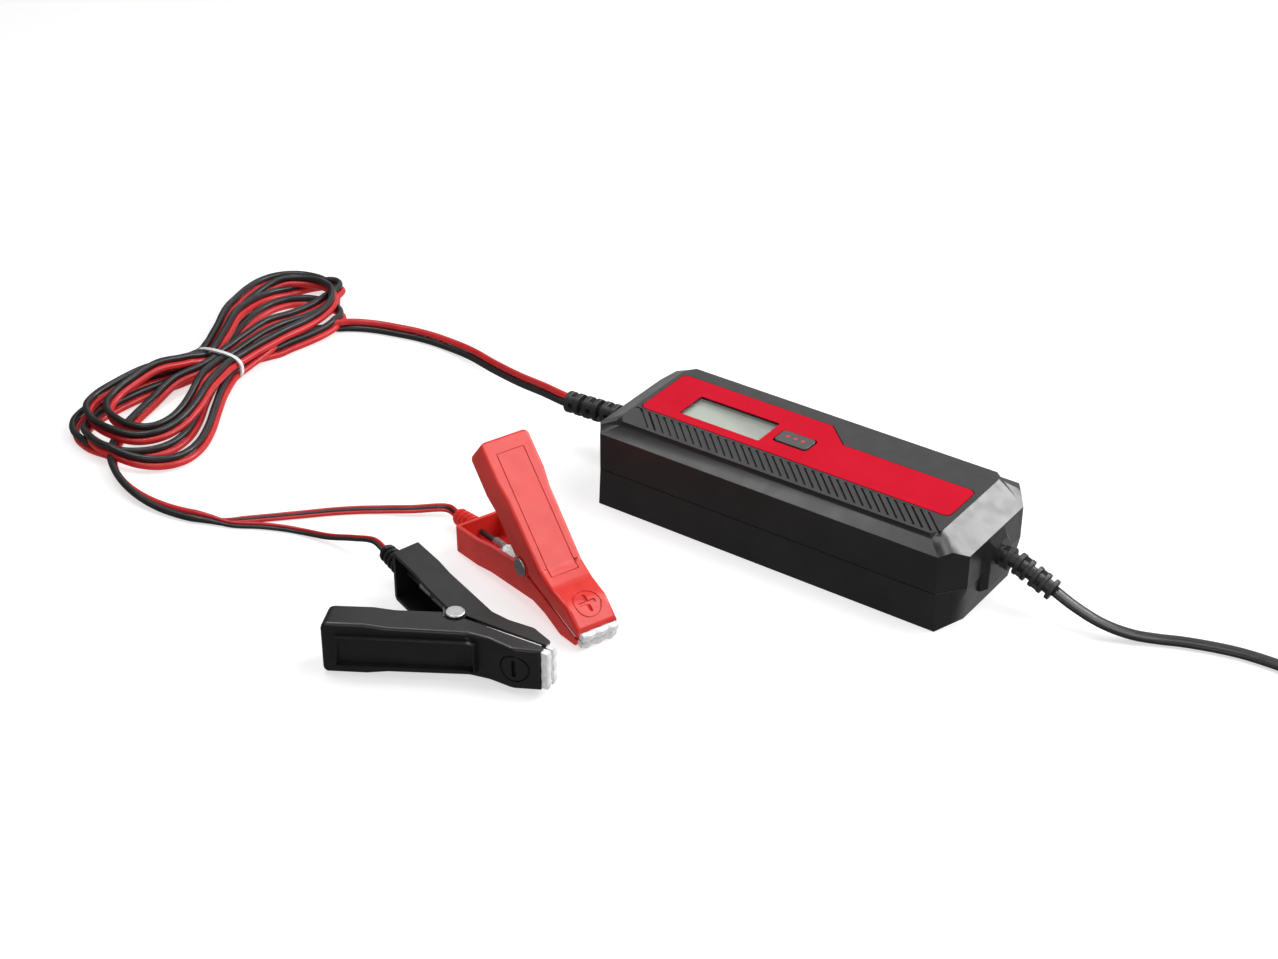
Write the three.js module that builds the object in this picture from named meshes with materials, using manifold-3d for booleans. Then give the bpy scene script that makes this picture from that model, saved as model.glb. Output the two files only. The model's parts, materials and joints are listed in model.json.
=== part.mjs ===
// A car battery charger: a two-shell case with a display and a mode button, a twin cable tied in a
// hank that forks to a red and a black sprung clamp, and a flat mains cable with a coil and a plug.
// Millimetres, +Z up. The origin is the centre of the underside of the case, +X points along the
// case to the mains end, and the visible long wall faces -Y.

import * as THREE from 'three';
import { mergeVertices } from 'three/addons/utils/BufferGeometryUtils.js';
import Module from 'manifold-3d';

const wasm = await Module();
wasm.setup();

// ---------------------------------------------------------------- driving dimensions

const GAP = 0.3;                      // clearance between separate pieces

const CASE_LENGTH = 180;
const CASE_WIDTH = 68;
const CASE_HEIGHT = 41;
const SEAM_Z = 17.9;                  // where the two shells meet
const WALL = 2.2;
const SIDE_EDGE_Z = 35.3;             // bright edge along the long walls
const END_EDGE_Z = 32.8;              // top edge of the end faces
const VALLEY_Z = 38.9;                // soft valley between the shelf and the plateau
const OUTLET_Z = 22.5;                // axis of both cable outlets
const SLEEVE_NECK_R = 3.9;
const FLANGE_R = 6;

const LABEL_THICKNESS = 0.4;
const LCD = { x: -38.9, y: 0.5, length: 40, width: 17 };
const BUTTON = { x: -6.4, y: 0.9, length: 16, width: 9.2 };

const BOARD_Z = 7;                    // underside of the main circuit board
const BOARD_THICKNESS = 1.6;
const DISPLAY_BOARD_Z = 30;
const SCREW_X = 75;
const SCREW_Y = 21;

const CORD_WIDTH = 6.4;               // twin cable, red strand beside black strand
const CORD_HEIGHT = 3.2;
const LEAD_WIDTH = 3.4;
const LEAD_HEIGHT = 1.7;
const MAINS_WIDTH = 6;
const MAINS_HEIGHT = 3.4;

const ARM_HALF_WIDTH = 11.5;          // clamp arms, at the grip
const ARM_WALL = 1.8;
const EAR_R = 4.5;
const PIN_R = 1.9;
const PIN_HEAD_R = 4;

// ---------------------------------------------------------------- materials

function plastic(color, roughness = 0.55) {
  return new THREE.MeshStandardMaterial({ color, roughness, metalness: 0 });
}

function metal(color, roughness = 0.3) {
  return new THREE.MeshStandardMaterial({ color, roughness, metalness: 1 });
}

const CASE_BLACK = plastic(0x2b2b2c);
const LABEL_RED = plastic(0xcf1430, 0.35);
const CLEAR = plastic(0xbac5bc, 0.1);
const LCD_GREEN = plastic(0xa9b3a6, 0.2);
const BUTTON_GREY = plastic(0x3a3236, 0.4);
const CLAMP_RED = plastic(0xd63a30, 0.45);
const CLAMP_BLACK = plastic(0x202021, 0.5);
const RUBBER = plastic(0x1c1c1d, 0.6);
const TIE_WHITE = plastic(0xececec, 0.4);
const BOARD_GREEN = plastic(0x1f6b3a, 0.5);
const PART_BLACK = plastic(0x1a1a1c, 0.5);
const PART_YELLOW = plastic(0xd9b23c, 0.5);
const PART_BLUE = plastic(0x23407e, 0.5);
const COPPER = metal(0xb87333);
const FERRITE = plastic(0x3b3b3f, 0.6);
const STEEL = metal(0xb9bcc0);
const ALUMINIUM = metal(0xc9ccd0, 0.4);

// ---------------------------------------------------------------- solids

// A closed geometry as a solid that can be joined and cut.
function solid(geometry) {
  const bare = geometry.clone();
  bare.deleteAttribute('normal');
  bare.deleteAttribute('uv');
  const merged = mergeVertices(bare, 1e-4);
  return new wasm.Manifold(new wasm.Mesh({
    numProp: 3,
    vertProperties: new Float32Array(merged.attributes.position.array),
    triVerts: new Uint32Array(merged.index.array),
  }));
}

function geometryOf(manifold) {
  const mesh = manifold.getMesh();
  const geometry = new THREE.BufferGeometry();
  geometry.setAttribute('position', new THREE.BufferAttribute(new Float32Array(mesh.vertProperties), 3));
  geometry.setIndex(new THREE.BufferAttribute(new Uint32Array(mesh.triVerts), 1));
  return geometry;
}

function union(pieces) {
  return pieces.reduce((sum, piece) => sum.add(piece));
}

function cut(body, tools) {
  return tools.reduce((rest, tool) => rest.subtract(tool), body);
}

function at(geometry, x, y, z) {
  geometry.translate(x, y, z);
  return geometry;
}

// A box from its lowest to its highest corner.
function box(low, high) {
  const size = high.map((value, i) => value - low[i]);
  const middle = high.map((value, i) => (value + low[i]) / 2);
  return solid(at(new THREE.BoxGeometry(...size), ...middle));
}

function cylinderGeometry(radius, from, to, axis, sides = 16) {
  const geometry = new THREE.CylinderGeometry(radius, radius, to - from, sides);
  if (axis === 'z') {
    geometry.rotateX(Math.PI / 2);
  } else if (axis === 'x') {
    geometry.rotateZ(Math.PI / 2);
  }
  const shift = { x: [1, 0, 0], y: [0, 1, 0], z: [0, 0, 1] }[axis];
  return at(geometry, ...shift.map((s) => s * (from + to) / 2));
}

// A round bar along an axis, through the point (a, b) of the two other directions.
function bar(radius, from, to, axis, centre = [0, 0, 0], sides = 16) {
  return solid(at(cylinderGeometry(radius, from, to, axis, sides), ...centre));
}

// A flat outline pulled up from z to z + height.
function plate(outline, z, height, curveSegments = 6) {
  const shape = Array.isArray(outline)
    ? new THREE.Shape(outline.map(([x, y]) => new THREE.Vector2(x, y)))
    : outline;
  const geometry = new THREE.ExtrudeGeometry(shape, { depth: height, bevelEnabled: false, curveSegments });
  return at(geometry, 0, 0, z);
}

function roundedBox(x, y, length, width, radius) {
  const shape = new THREE.Shape();
  const [a, b] = [length / 2, width / 2];
  shape.moveTo(x - a + radius, y - b);
  shape.lineTo(x + a - radius, y - b);
  shape.absarc(x + a - radius, y - b + radius, radius, -Math.PI / 2, 0);
  shape.absarc(x + a - radius, y + b - radius, radius, 0, Math.PI / 2);
  shape.absarc(x - a + radius, y + b - radius, radius, Math.PI / 2, Math.PI);
  shape.absarc(x - a + radius, y - b + radius, radius, Math.PI, 1.5 * Math.PI);
  return shape;
}

// A closed solid through rings of the same number of points.
function loft(rings) {
  const count = rings[0].length;
  const index = [];
  rings.slice(1).forEach((ring, level) => {
    const low = level * count;
    for (let i = 0; i < count; i += 1) {
      const next = (i + 1) % count;
      index.push(low + i, low + next, low + count + next);
      index.push(low + i, low + count + next, low + count + i);
    }
  });
  const top = (rings.length - 1) * count;
  for (let i = 1; i < count - 1; i += 1) {
    index.push(0, i + 1, i);
    index.push(top, top + i, top + i + 1);
  }
  const geometry = new THREE.BufferGeometry();
  geometry.setAttribute('position', new THREE.Float32BufferAttribute(rings.flat(2), 3));
  geometry.setIndex(index);
  const body = solid(geometry);
  if (body.volume() > 0) {
    return body;
  }
  geometry.setIndex(index.reverse());
  return solid(geometry);
}

// A revolved body about +Z from its (radius, height) profile, which starts and ends on the axis.
function turned(profile, sides = 16) {
  const geometry = new THREE.LatheGeometry(profile.map(([r, z]) => new THREE.Vector2(r, z)), sides);
  geometry.rotateX(Math.PI / 2);
  return geometry;
}

// A revolved ring of rectangular section.
function ring(inner, outer, low, high, sides = 16) {
  return turned([[inner, low], [outer, low], [outer, high], [inner, high], [inner, low]], sides);
}

// A smooth route whose section keeps its flat side level.
class LevelRoute extends THREE.CatmullRomCurve3 {
  computeFrenetFrames(segments) {
    const frames = { tangents: [], normals: [], binormals: [] };
    const up = new THREE.Vector3(0, 0, 1);
    for (let i = 0; i <= segments; i += 1) {
      const tangent = this.getTangentAt(i / segments).normalize();
      const across = new THREE.Vector3().crossVectors(tangent, up).normalize();
      frames.tangents.push(tangent);
      frames.binormals.push(across);
      frames.normals.push(new THREE.Vector3().crossVectors(across, tangent));
    }
    return frames;
  }
}

// A tube of elliptical section along a smooth route.
function tube(points, width, height, steps, sides = 12) {
  const ellipse = new THREE.EllipseCurve(0, 0, height / 2, width / 2, 0, 2 * Math.PI);
  const section = new THREE.Shape(ellipse.getPoints(sides).slice(0, sides));
  const route = new LevelRoute(points.map((point) => new THREE.Vector3(...point)), false, 'centripetal');
  return new THREE.ExtrudeGeometry(section, { steps, extrudePath: route, bevelEnabled: false });
}

const charger = new THREE.Group();

function add(name, shape, material, parent = charger) {
  const geometry = shape.isBufferGeometry ? shape : geometryOf(shape);
  const mesh = new THREE.Mesh(geometry, material);
  mesh.name = name;
  parent.add(mesh);
  return mesh;
}

// ---------------------------------------------------------------- case shells

const HALF_LENGTH = CASE_LENGTH / 2;
const HALF_WIDTH = CASE_WIDTH / 2;
const CHAMFER_X = 8.2;
const CHAMFER_Y = 11.5;
const END_DRAFT = 2.3;                // the ends lean in below the seam
const PLATEAU_X = 77.6;
const PLATEAU_Y = 28;

// A ring of the case: the +X +Y quarter, from the end face to the long wall, mirrored three times.
function caseRing(quarter) {
  const second = quarter.map(([x, y, z]) => [-x, y, z]).reverse();
  const third = quarter.map(([x, y, z]) => [-x, -y, z]);
  const fourth = quarter.map(([x, y, z]) => [x, -y, z]).reverse();
  return [...quarter, ...second, ...third, ...fourth];
}

// The chamfered outline at one height, pulled in by inset.
function outlineRing(length, chamferX, chamferY, z, inset = 0) {
  const [x, y] = [length - inset, HALF_WIDTH - inset];
  const ease = inset * 0.4;
  const end = [x, y - chamferY + ease, z];
  const side = [x - chamferX + ease, y, z];
  const corner = [(end[0] + side[0]) / 2, (end[1] + side[1]) / 2, z];
  return caseRing([end, corner, side]);
}

function lowerBody(low, high, inset) {
  return loft([
    outlineRing(HALF_LENGTH - END_DRAFT, 5.1, 15.1, low, inset),
    outlineRing(HALF_LENGTH, CHAMFER_X, CHAMFER_Y, high, inset),
  ]);
}

// The cover: vertical walls, a shelf along each long side, sloping ends and a flat plateau.
function upperBody(low, inset) {
  const drop = inset;
  const edge = caseRing([
    [HALF_LENGTH - inset, 22.5, END_EDGE_Z - drop],
    [85.3 - inset, 28.5 - inset * 0.8, 36.1 - drop],
    [81.8 - inset, HALF_WIDTH - inset, SIDE_EDGE_Z - drop],
  ]);
  const valley = caseRing([
    [80.8 - inset, 22.9, VALLEY_Z - drop],
    [78.6 - inset, 26 - inset * 0.5, VALLEY_Z + 0.2 - drop],
    [75.6 - inset, 28.6 - inset * 0.5, VALLEY_Z - drop],
  ]);
  const plateau = caseRing([
    [PLATEAU_X - inset, 22.9, CASE_HEIGHT - drop],
    [76.2 - inset, 25.6 - inset * 0.5, CASE_HEIGHT - drop],
    [74.3 - inset, PLATEAU_Y - inset * 0.5, CASE_HEIGHT - drop],
  ]);
  return loft([outlineRing(HALF_LENGTH, CHAMFER_X, CHAMFER_Y, low, inset), edge, valley, plateau]);
}

// The faceted boss round a cable outlet, on the end at side = +1 or -1.
function outletBoss(side) {
  const base = [[11, 9.5], [11, 25], [6.5, 31.5]];
  const face = [[8.6, 10.5], [8.6, 23.8], [5, 28.6]];
  const rings = [[base, HALF_LENGTH - 3], [base, HALF_LENGTH], [face, HALF_LENGTH + 2.4]];
  return loft(rings.map(([half, x]) => [
    ...half.map(([y, z]) => [side * x, y, z]),
    ...half.map(([y, z]) => [side * x, -y, z]).reverse(),
  ]));
}

const SIDES = [1, -1];
const CORNERS = SIDES.flatMap((sx) => SIDES.map((sy) => [sx * SCREW_X, sy * SCREW_Y]));
const SEAM_LOW = SEAM_Z - GAP / 2;
const SEAM_HIGH = SEAM_Z + GAP / 2;
const TONGUE_HALF_WIDTH = 8;          // the seam steps up to the outlet axis over this width
const NECK_HOLE_R = SLEEVE_NECK_R + GAP;
const SCREW_HOLE_R = 1.8;
const BOSS_R = 4.4;
// Room for each sleeve: the hole for its neck and, inside the wall, the space of its flange.
const outletHoles = SIDES.flatMap((side) => [[NECK_HOLE_R, 95], [FLANGE_R + GAP, HALF_LENGTH - WALL - GAP]]
  .map(([radius, end]) => {
    const [low, high] = [side * 80, side * end].sort((a, b) => a - b);
    return bar(radius, low, high, 'x', [0, 0, OUTLET_Z]);
  }));

function tongue(side, grow, top) {
  const xs = [side * (HALF_LENGTH - 2.2 - grow), side * (HALF_LENGTH + 4)].sort((a, b) => a - b);
  const half = TONGUE_HALF_WIDTH + grow;
  return box([xs[0], -half, SEAM_LOW - 6], [xs[1], half, top]);
}

function bottomCase() {
  // The rim stands up inside the cover, all round.
  const rimRings = (inset) => [SEAM_LOW - 2, SEAM_LOW + 2].map((z) => (
    outlineRing(HALF_LENGTH, CHAMFER_X, CHAMFER_Y, z, inset)));
  const shell = lowerBody(0, SEAM_LOW, 0)
    .subtract(lowerBody(WALL, SEAM_LOW + 0.5, WALL))
    .add(loft(rimRings(WALL + GAP)).subtract(loft(rimRings(WALL + GAP + 1.1)))
      .add(loft(rimRings(WALL - 0.4)).subtract(loft(rimRings(WALL + GAP + 1.1)))
        .intersect(box([-200, -200, 0], [200, 200, SEAM_LOW]))));
  const bosses = SIDES.map((side) => outletBoss(side).intersect(box([-200, -20, 0], [200, 20, SEAM_LOW])));
  const tongues = SIDES.map((side) => tongue(side, 0, OUTLET_Z - GAP / 2)
    .intersect(upperBody(SEAM_LOW - 8, 0).add(outletBoss(side))));
  const screwPosts = CORNERS.map(([x, y]) => bar(BOSS_R, 1, SEAM_LOW, 'z', [x, y, 0], 12));
  const standoffs = SIDES.flatMap((sx) => SIDES.map((sy) => (
    bar(2.2, 1, BOARD_Z - GAP, 'z', [sx * 58, sy * 23, 0], 8))));
  const holes = CORNERS.flatMap(([x, y]) => [
    bar(SCREW_HOLE_R, -1, SEAM_LOW + 1, 'z', [x, y, 0], 10),
    bar(3.3, -1, 4, 'z', [x, y, 0], 12),
  ]);
  const body = union([shell, ...bosses, ...tongues, ...screwPosts, ...standoffs]);
  return cut(body, [...holes, ...outletHoles]);
}

function labelOutline(grow = 0) {
  const shape = new THREE.Shape();
  const r = 3;
  const [left, right] = [-75.5 - grow, 74.6 + grow];
  const [front, back, step] = [-13.4 - grow, 20.5 + grow, 9.5 + grow];
  shape.moveTo(left + r, front);
  shape.lineTo(right - r, front);
  shape.absarc(right - r, front + r, r, -Math.PI / 2, 0);
  shape.lineTo(right, step - r);
  shape.absarc(right - r, step - r, r, 0, Math.PI / 2);
  shape.lineTo(11.8 + grow, step);
  shape.lineTo(grow, back);
  shape.lineTo(left + r, back);
  shape.absarc(left + r, back - r, r, Math.PI / 2, Math.PI);
  shape.absarc(left + r, front + r, r, Math.PI, 1.5 * Math.PI);
  return shape;
}

const LABEL_TOP = CASE_HEIGHT + 0.1;
const LABEL_BOTTOM = LABEL_TOP - LABEL_THICKNESS;
const lcdHole = roundedBox(LCD.x, LCD.y, LCD.length, LCD.width, 0.8);
const buttonHole = roundedBox(BUTTON.x, BUTTON.y, BUTTON.length + 1.2, BUTTON.width + 1.2, 2);

function topCover() {
  const shell = upperBody(SEAM_HIGH, 0).subtract(upperBody(SEAM_HIGH - 5, WALL));
  const bosses = SIDES.map((side) => outletBoss(side)
    .subtract(box([-200, -20, -1], [200, 20, SEAM_HIGH]))
    .subtract(upperBody(SEAM_HIGH - 5, WALL)));
  const screwPosts = CORNERS.map(([x, y]) => bar(4, SEAM_HIGH, CASE_HEIGHT - 2.5, 'z', [x, y, 0], 12));
  const boardPosts = [[-63.2, 13], [8, 13], [-63.2, -11], [8, -11]]
    .map(([x, y]) => bar(2, DISPLAY_BOARD_Z + BOARD_THICKNESS + GAP, CASE_HEIGHT - 2, 'z', [x, y, 0], 8));
  const pilots = CORNERS.map(([x, y]) => bar(SCREW_HOLE_R, SEAM_LOW - 1, SEAM_HIGH + 13, 'z', [x, y, 0], 10));
  const openings = [
    solid(plate(labelOutline(0.3), LABEL_BOTTOM - GAP, 4, 4)),
    solid(plate(lcdHole, 30, 20, 2)),
    solid(plate(buttonHole, 30, 20, 4)),
    ...SIDES.map((side) => tongue(side, GAP, OUTLET_Z + GAP / 2)),
  ];
  const posts = union(screwPosts).intersect(upperBody(SEAM_LOW - 2, 0.5));
  const body = union([shell, ...bosses, posts, ...boardPosts]);
  return cut(body, [...openings, ...pilots, ...outletHoles]);
}

add('bottom_case', bottomCase(), CASE_BLACK);
add('top_cover', topCover(), CASE_BLACK);

function frontLabel() {
  const sheet = solid(plate(labelOutline(), LABEL_BOTTOM, LABEL_THICKNESS, 4));
  const holes = [lcdHole, buttonHole].map((hole) => solid(plate(hole, LABEL_BOTTOM - 1, 3, 4)));
  return cut(sheet, holes);
}
add('front_label', frontLabel(), LABEL_RED);

const screwProfile = [[0, 1.4], [2.6, 1.4], [2.9, 1.9], [2.9, 3.7], [1.35, 3.7], [1.35, 26], [0, 28]];
CORNERS.forEach(([x, y], i) => {
  add(`case_screw_${i + 1}`, at(turned(screwProfile, 10), x, y, 0), STEEL);
});

// ---------------------------------------------------------------- display and button

const WINDOW_TOP = CASE_HEIGHT - 0.9;
const lcdInset = roundedBox(LCD.x, LCD.y, LCD.length - 2 * GAP, LCD.width - 2 * GAP, 0.5);
add('lcd_window', plate(lcdInset, WINDOW_TOP - 1.2, 1.2, 2), CLEAR);
add('lcd_panel', box([LCD.x - 21.5, LCD.y - 10.6, 36.4], [LCD.x + 21.5, LCD.y + 10.6, 38.4]), LCD_GREEN);
add('lcd_backlight', box([LCD.x - 21.5, LCD.y - 10.6, 32], [LCD.x + 21.5, LCD.y + 10.6, 36.1]), TIE_WHITE);
const DISPLAY_BOARD_TOP = DISPLAY_BOARD_Z + BOARD_THICKNESS;
add('display_board', box([-66, -14, DISPLAY_BOARD_Z], [12, 16, DISPLAY_BOARD_TOP]), BOARD_GREEN);
add('button_switch', box([BUTTON.x - 3, BUTTON.y - 3, 31.9], [BUTTON.x + 3, BUTTON.y + 3, 35.4]), PART_BLACK);

const BUTTON_TRAVEL = 0.6;
function modeButton() {
  const cap = solid(plate(roundedBox(BUTTON.x, BUTTON.y, BUTTON.length, BUTTON.width, 1.8), 37.6, 4, 4));
  const stem = bar(1.8, 35.4 + BUTTON_TRAVEL + GAP, 38, 'z', [BUTTON.x, BUTTON.y, 0], 12);
  return cap.add(stem);
}
add('mode_button', modeButton(), BUTTON_GREY);

// ---------------------------------------------------------------- circuit

const BOARD_TOP = BOARD_Z + BOARD_THICKNESS;
const SEAT_Z = BOARD_TOP + GAP;

add('circuit_board', box([-68, -27, BOARD_Z], [68, 27, BOARD_TOP]), BOARD_GREEN);
add('display_ribbon', box([-14, 13.8, SEAT_Z], [-2, 15.2, DISPLAY_BOARD_Z - GAP]), TIE_WHITE);

function transformerCore() {
  const block = box([16, -4, SEAT_Z], [40, 20, SEAT_Z + 24]);
  const windows = [[20.5, 24], [32, 35.5]].map(([x0, x1]) => (
    box([x0, -10, SEAT_Z + 4], [x1, 30, SEAT_Z + 20])));
  return cut(block, windows);
}
add('transformer_core', transformerCore(), FERRITE);
function transformerWinding() {
  const outer = box([20.8, -6.5, SEAT_Z + 4.3], [35.2, 22.5, SEAT_Z + 19.7]);
  return outer.subtract(box([24 - GAP, -4 - GAP, SEAT_Z], [32 + GAP, 20 + GAP, SEAT_Z + 30]));
}
add('transformer_winding', transformerWinding(), PART_YELLOW);

function can(name, x, y, radius, height, material) {
  const profile = [[0, 0], [radius, 0], [radius, height - 0.8], [radius - 0.8, height], [0, height]];
  add(name, at(turned(profile, 14), x, y, SEAT_Z), material);
}
can('mains_capacitor', 51, 15, 8, 24, PART_BLACK);
can('output_capacitor_1', -48, 12, 5, 19, PART_BLUE);
can('output_capacitor_2', -36, 12, 5, 19, PART_BLUE);
add('common_mode_choke', at(ring(3.6, 8.8, 0, 10), 52, -10, SEAT_Z), COPPER);
add('output_coil', at(ring(3, 7.5, 0, 8), -20, 8, SEAT_Z), COPPER);
add('mains_fuse', bar(2.6, -18, 2, 'y', [64.5, 0, SEAT_Z + 2.7], 16), CLEAR);
add('output_relay', box([-66, -12, SEAT_Z], [-46, 3, SEAT_Z + 15]), PART_BLUE);

function heatsink() {
  const back = box([-30, -24, SEAT_Z], [30, -21.5, SEAT_Z + 18]);
  const fins = [-28, -14, 0, 14, 28].map((x) => box([x - 0.8, -26.4, SEAT_Z], [x + 0.8, -23, SEAT_Z + 18]));
  return union([back, ...fins]);
}
add('heatsink', heatsink(), ALUMINIUM);
add('power_transistor', box([8, -21.2, SEAT_Z + 2], [18, -16.7, SEAT_Z + 17]), PART_BLACK);
add('output_diode', box([-24, -21.2, SEAT_Z + 2], [-14, -16.7, SEAT_Z + 17]), PART_BLACK);

// ---------------------------------------------------------------- strain reliefs

const SLEEVE_START = HALF_LENGTH + 2.4 + GAP;
const SLEEVE_CURVE = 0.05;            // curvature of the drooping stretch, 1/mm

// Bends a body that lies along +X downwards: an arc of the given curve, up to angle, then straight.
function droop(geometry, start, curve, angle) {
  const position = geometry.attributes.position;
  for (let i = 0; i < position.count; i += 1) {
    const run = position.getX(i) - start;
    const height = position.getZ(i);
    const turn = Math.min(Math.max(run, 0) * curve, angle);
    const straight = Math.max(run - angle / curve, 0);
    const forward = run < 0 ? run : Math.sin(turn) / curve + straight * Math.cos(turn);
    const down = (1 - Math.cos(turn)) / curve + straight * Math.sin(turn);
    position.setX(i, start + forward + height * Math.sin(turn));
    position.setZ(i, OUTLET_Z - down + height * Math.cos(turn));
  }
  return geometry;
}

// A ribbed sleeve about +X: a flange inside the wall, a neck through it, and five ribs.
function sleeve(length, angle) {
  const ribs = 5;
  const pitch = length / ribs;
  const flangeEnd = HALF_LENGTH - WALL - 0.6;
  const profile = [
    [0, 82.8], [FLANGE_R, 82.8], [FLANGE_R, flangeEnd], [SLEEVE_NECK_R, flangeEnd],
    [SLEEVE_NECK_R, SLEEVE_START],
  ];
  for (let i = 0; i < ribs; i += 1) {
    const x = SLEEVE_START + i * pitch;
    const radius = 4.6 - 0.1 * i;
    profile.push([radius, x + 0.1], [radius, x + pitch * 0.55]);
    profile.push([radius - 1.2, x + pitch * 0.6], [radius - 1.2, x + pitch]);
  }
  const end = SLEEVE_START + length + 2;
  profile.push([4.1, end - 1.8], [4.1, end], [0, end]);
  const geometry = turned(profile, 12);
  geometry.rotateY(Math.PI / 2);
  return droop(geometry, SLEEVE_START + 2, SLEEVE_CURVE, angle);
}

// Where the axis of a drooping sleeve ends, as its distance from the middle of the case and height.
function sleeveTip(length, angle) {
  const straight = length - angle / SLEEVE_CURVE;
  return [
    SLEEVE_START + 2 + Math.sin(angle) / SLEEVE_CURVE + straight * Math.cos(angle),
    OUTLET_Z - (1 - Math.cos(angle)) / SLEEVE_CURVE - straight * Math.sin(angle),
  ];
}
const MAINS_SLEEVE = { length: 23, angle: 0.4 };
const DC_SLEEVE = { length: 28, angle: 0.05 };
add('mains_strain_relief', sleeve(MAINS_SLEEVE.length, MAINS_SLEEVE.angle), RUBBER);
const dcSleeve = sleeve(DC_SLEEVE.length, DC_SLEEVE.angle);
dcSleeve.rotateZ(Math.PI);
add('dc_strain_relief', dcSleeve, RUBBER);

// The cable ends inside the case, from each flange down to the board.
function innerLead(side) {
  const route = [[82.4, 0, OUTLET_Z], [78, 0, OUTLET_Z], [73.5, 0, 19.5], [71, 0, 14], [70.6, 0, 9.5]];
  return tube(route.map(([x, y, z]) => [side * x, y, z]), 5, 2.6, 12, 8);
}
add('mains_inner_lead', innerLead(1), RUBBER);
add('dc_inner_lead', innerLead(-1), RUBBER);

// ---------------------------------------------------------------- clamps

// Stations of a clamp arm from its tail to its jaw, in the plane that it turns in: the outer point,
// the rim point and half the width. X runs from the pin to the jaw tip, Y away from the jaw line.
const ARM_STATIONS = [
  { outer: [-40.3, 33.5], rim: [-44.6, 21.9], half: ARM_HALF_WIDTH },
  { outer: [-24.8, 26.4], rim: [-28.5, 13.9], half: ARM_HALF_WIDTH },
  { outer: [-17.2, 21.2], rim: [-21, 10.1], half: 10.4 },
  { outer: [0, 13.8], rim: [-4, 1.5], half: 10.2 },
  { outer: [11.5, 8.8], rim: [10, 0.9], half: 10 },
  { outer: [20, 7.6], rim: [20, 0.9], half: 9.8 },
  { outer: [31, 8.4], rim: [31, 0.9], half: 9.4 },
  { outer: [40.8, 4.4], rim: [40.8, 0.9], half: 9.2 },
];
const TAIL_CENTRE = [-42.4, 27.7];
const HANDLE_DIRECTION = [-0.906, 0.423];    // from the pin towards the tail of the fixed arm
const BOOT_LENGTH = 17;
const EAR_OUTER = 10.1;
const EAR_SPLIT = 8.25;                      // the moving ears lie inside the fixed ones

function mirrored(points, side) {
  return points.map(([x, y, z]) => [x, side * y, z]);
}

function armShell(side) {
  const ringAt = (outer, rim, half) => mirrored([
    [...rim, -half], [...outer, -half], [...outer, half], [...rim, half],
  ], side);
  const body = loft(ARM_STATIONS.map(({ outer, rim, half }) => ringAt(outer, rim, half)));
  const hollow = loft(ARM_STATIONS.map(({ outer, rim, half }, i) => {
    const depth = Math.hypot(outer[0] - rim[0], outer[1] - rim[1]);
    const inward = [(rim[0] - outer[0]) / depth, (rim[1] - outer[1]) / depth];
    const shift = [0, 0];
    if (i === 0) {
      shift[0] = -HANDLE_DIRECTION[0] * ARM_WALL;
      shift[1] = -HANDLE_DIRECTION[1] * ARM_WALL;
    } else if (i === ARM_STATIONS.length - 1) {
      shift[0] = 2;
    }
    const top = [0, 1].map((k) => outer[k] + inward[k] * ARM_WALL + shift[k]);
    const mouth = [0, 1].map((k) => rim[k] + inward[k] * 3 + shift[k]);
    return ringAt(top, mouth, half - ARM_WALL);
  }));
  return body.subtract(hollow);
}

function alongHandle(distance) {
  return [0, 1].map((k) => TAIL_CENTRE[k] - HANDLE_DIRECTION[k] * distance);
}

// Turns a body made along +Z so that it runs from a point on the handle line towards the tail.
function laidOnHandle(geometry, distance) {
  geometry.rotateX(-Math.PI / 2);
  geometry.rotateZ(Math.atan2(HANDLE_DIRECTION[1], HANDLE_DIRECTION[0]) - Math.PI / 2);
  const [x, y] = alongHandle(distance);
  return at(geometry, x, y, 0);
}

function boot() {
  const profile = [[0, -1], [4.4, -1], [4.4, 2.4]];
  for (let rib = 0; rib < 4; rib += 1) {
    const z = 2.6 + rib * 3.2;
    const radius = 4.5 - rib * 0.2;
    profile.push([radius - 1, z], [radius - 1, z + 1.2], [radius, z + 1.4], [radius, z + 3]);
  }
  profile.push([2.6, BOOT_LENGTH], [0, BOOT_LENGTH]);
  return solid(laidOnHandle(turned(profile, 12), 0));
}

function ears(low, high, radius) {
  return SIDES.map((s) => bar(radius, Math.min(s * low, s * high), Math.max(s * low, s * high), 'z'));
}

function fixedArm() {
  const body = union([armShell(1), boot(), ...ears(EAR_SPLIT + GAP, EAR_OUTER, EAR_R)]);
  return body.subtract(bar(PIN_R + GAP, -20, 20, 'z'));
}

function movingArm() {
  const shell = cut(armShell(-1), ears(EAR_SPLIT - 0.2, 20, EAR_R + 0.4));
  const webs = SIDES.map((s) => {
    const [low, high] = [s * 6.7, s * (EAR_SPLIT - 0.1)].sort((a, b) => a - b);
    return box([-EAR_R, -11.5, low], [EAR_R, 0, high]);
  });
  const body = union([shell, ...webs, ...ears(6.7, EAR_SPLIT - 0.1, EAR_R)]);
  return body.subtract(bar(PIN_R + GAP, -20, 20, 'z'));
}

function pivotPin() {
  const [head, face] = [EAR_OUTER + 0.4, EAR_OUTER + 1.2];
  const half = [
    [0, face], [PIN_HEAD_R - 0.5, face], [PIN_HEAD_R, face - 0.4], [PIN_HEAD_R, head], [PIN_R, head],
  ];
  const profile = [...half.map(([r, z]) => [r, -z]), ...half.reverse()];
  return turned(profile, 14);
}

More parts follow.
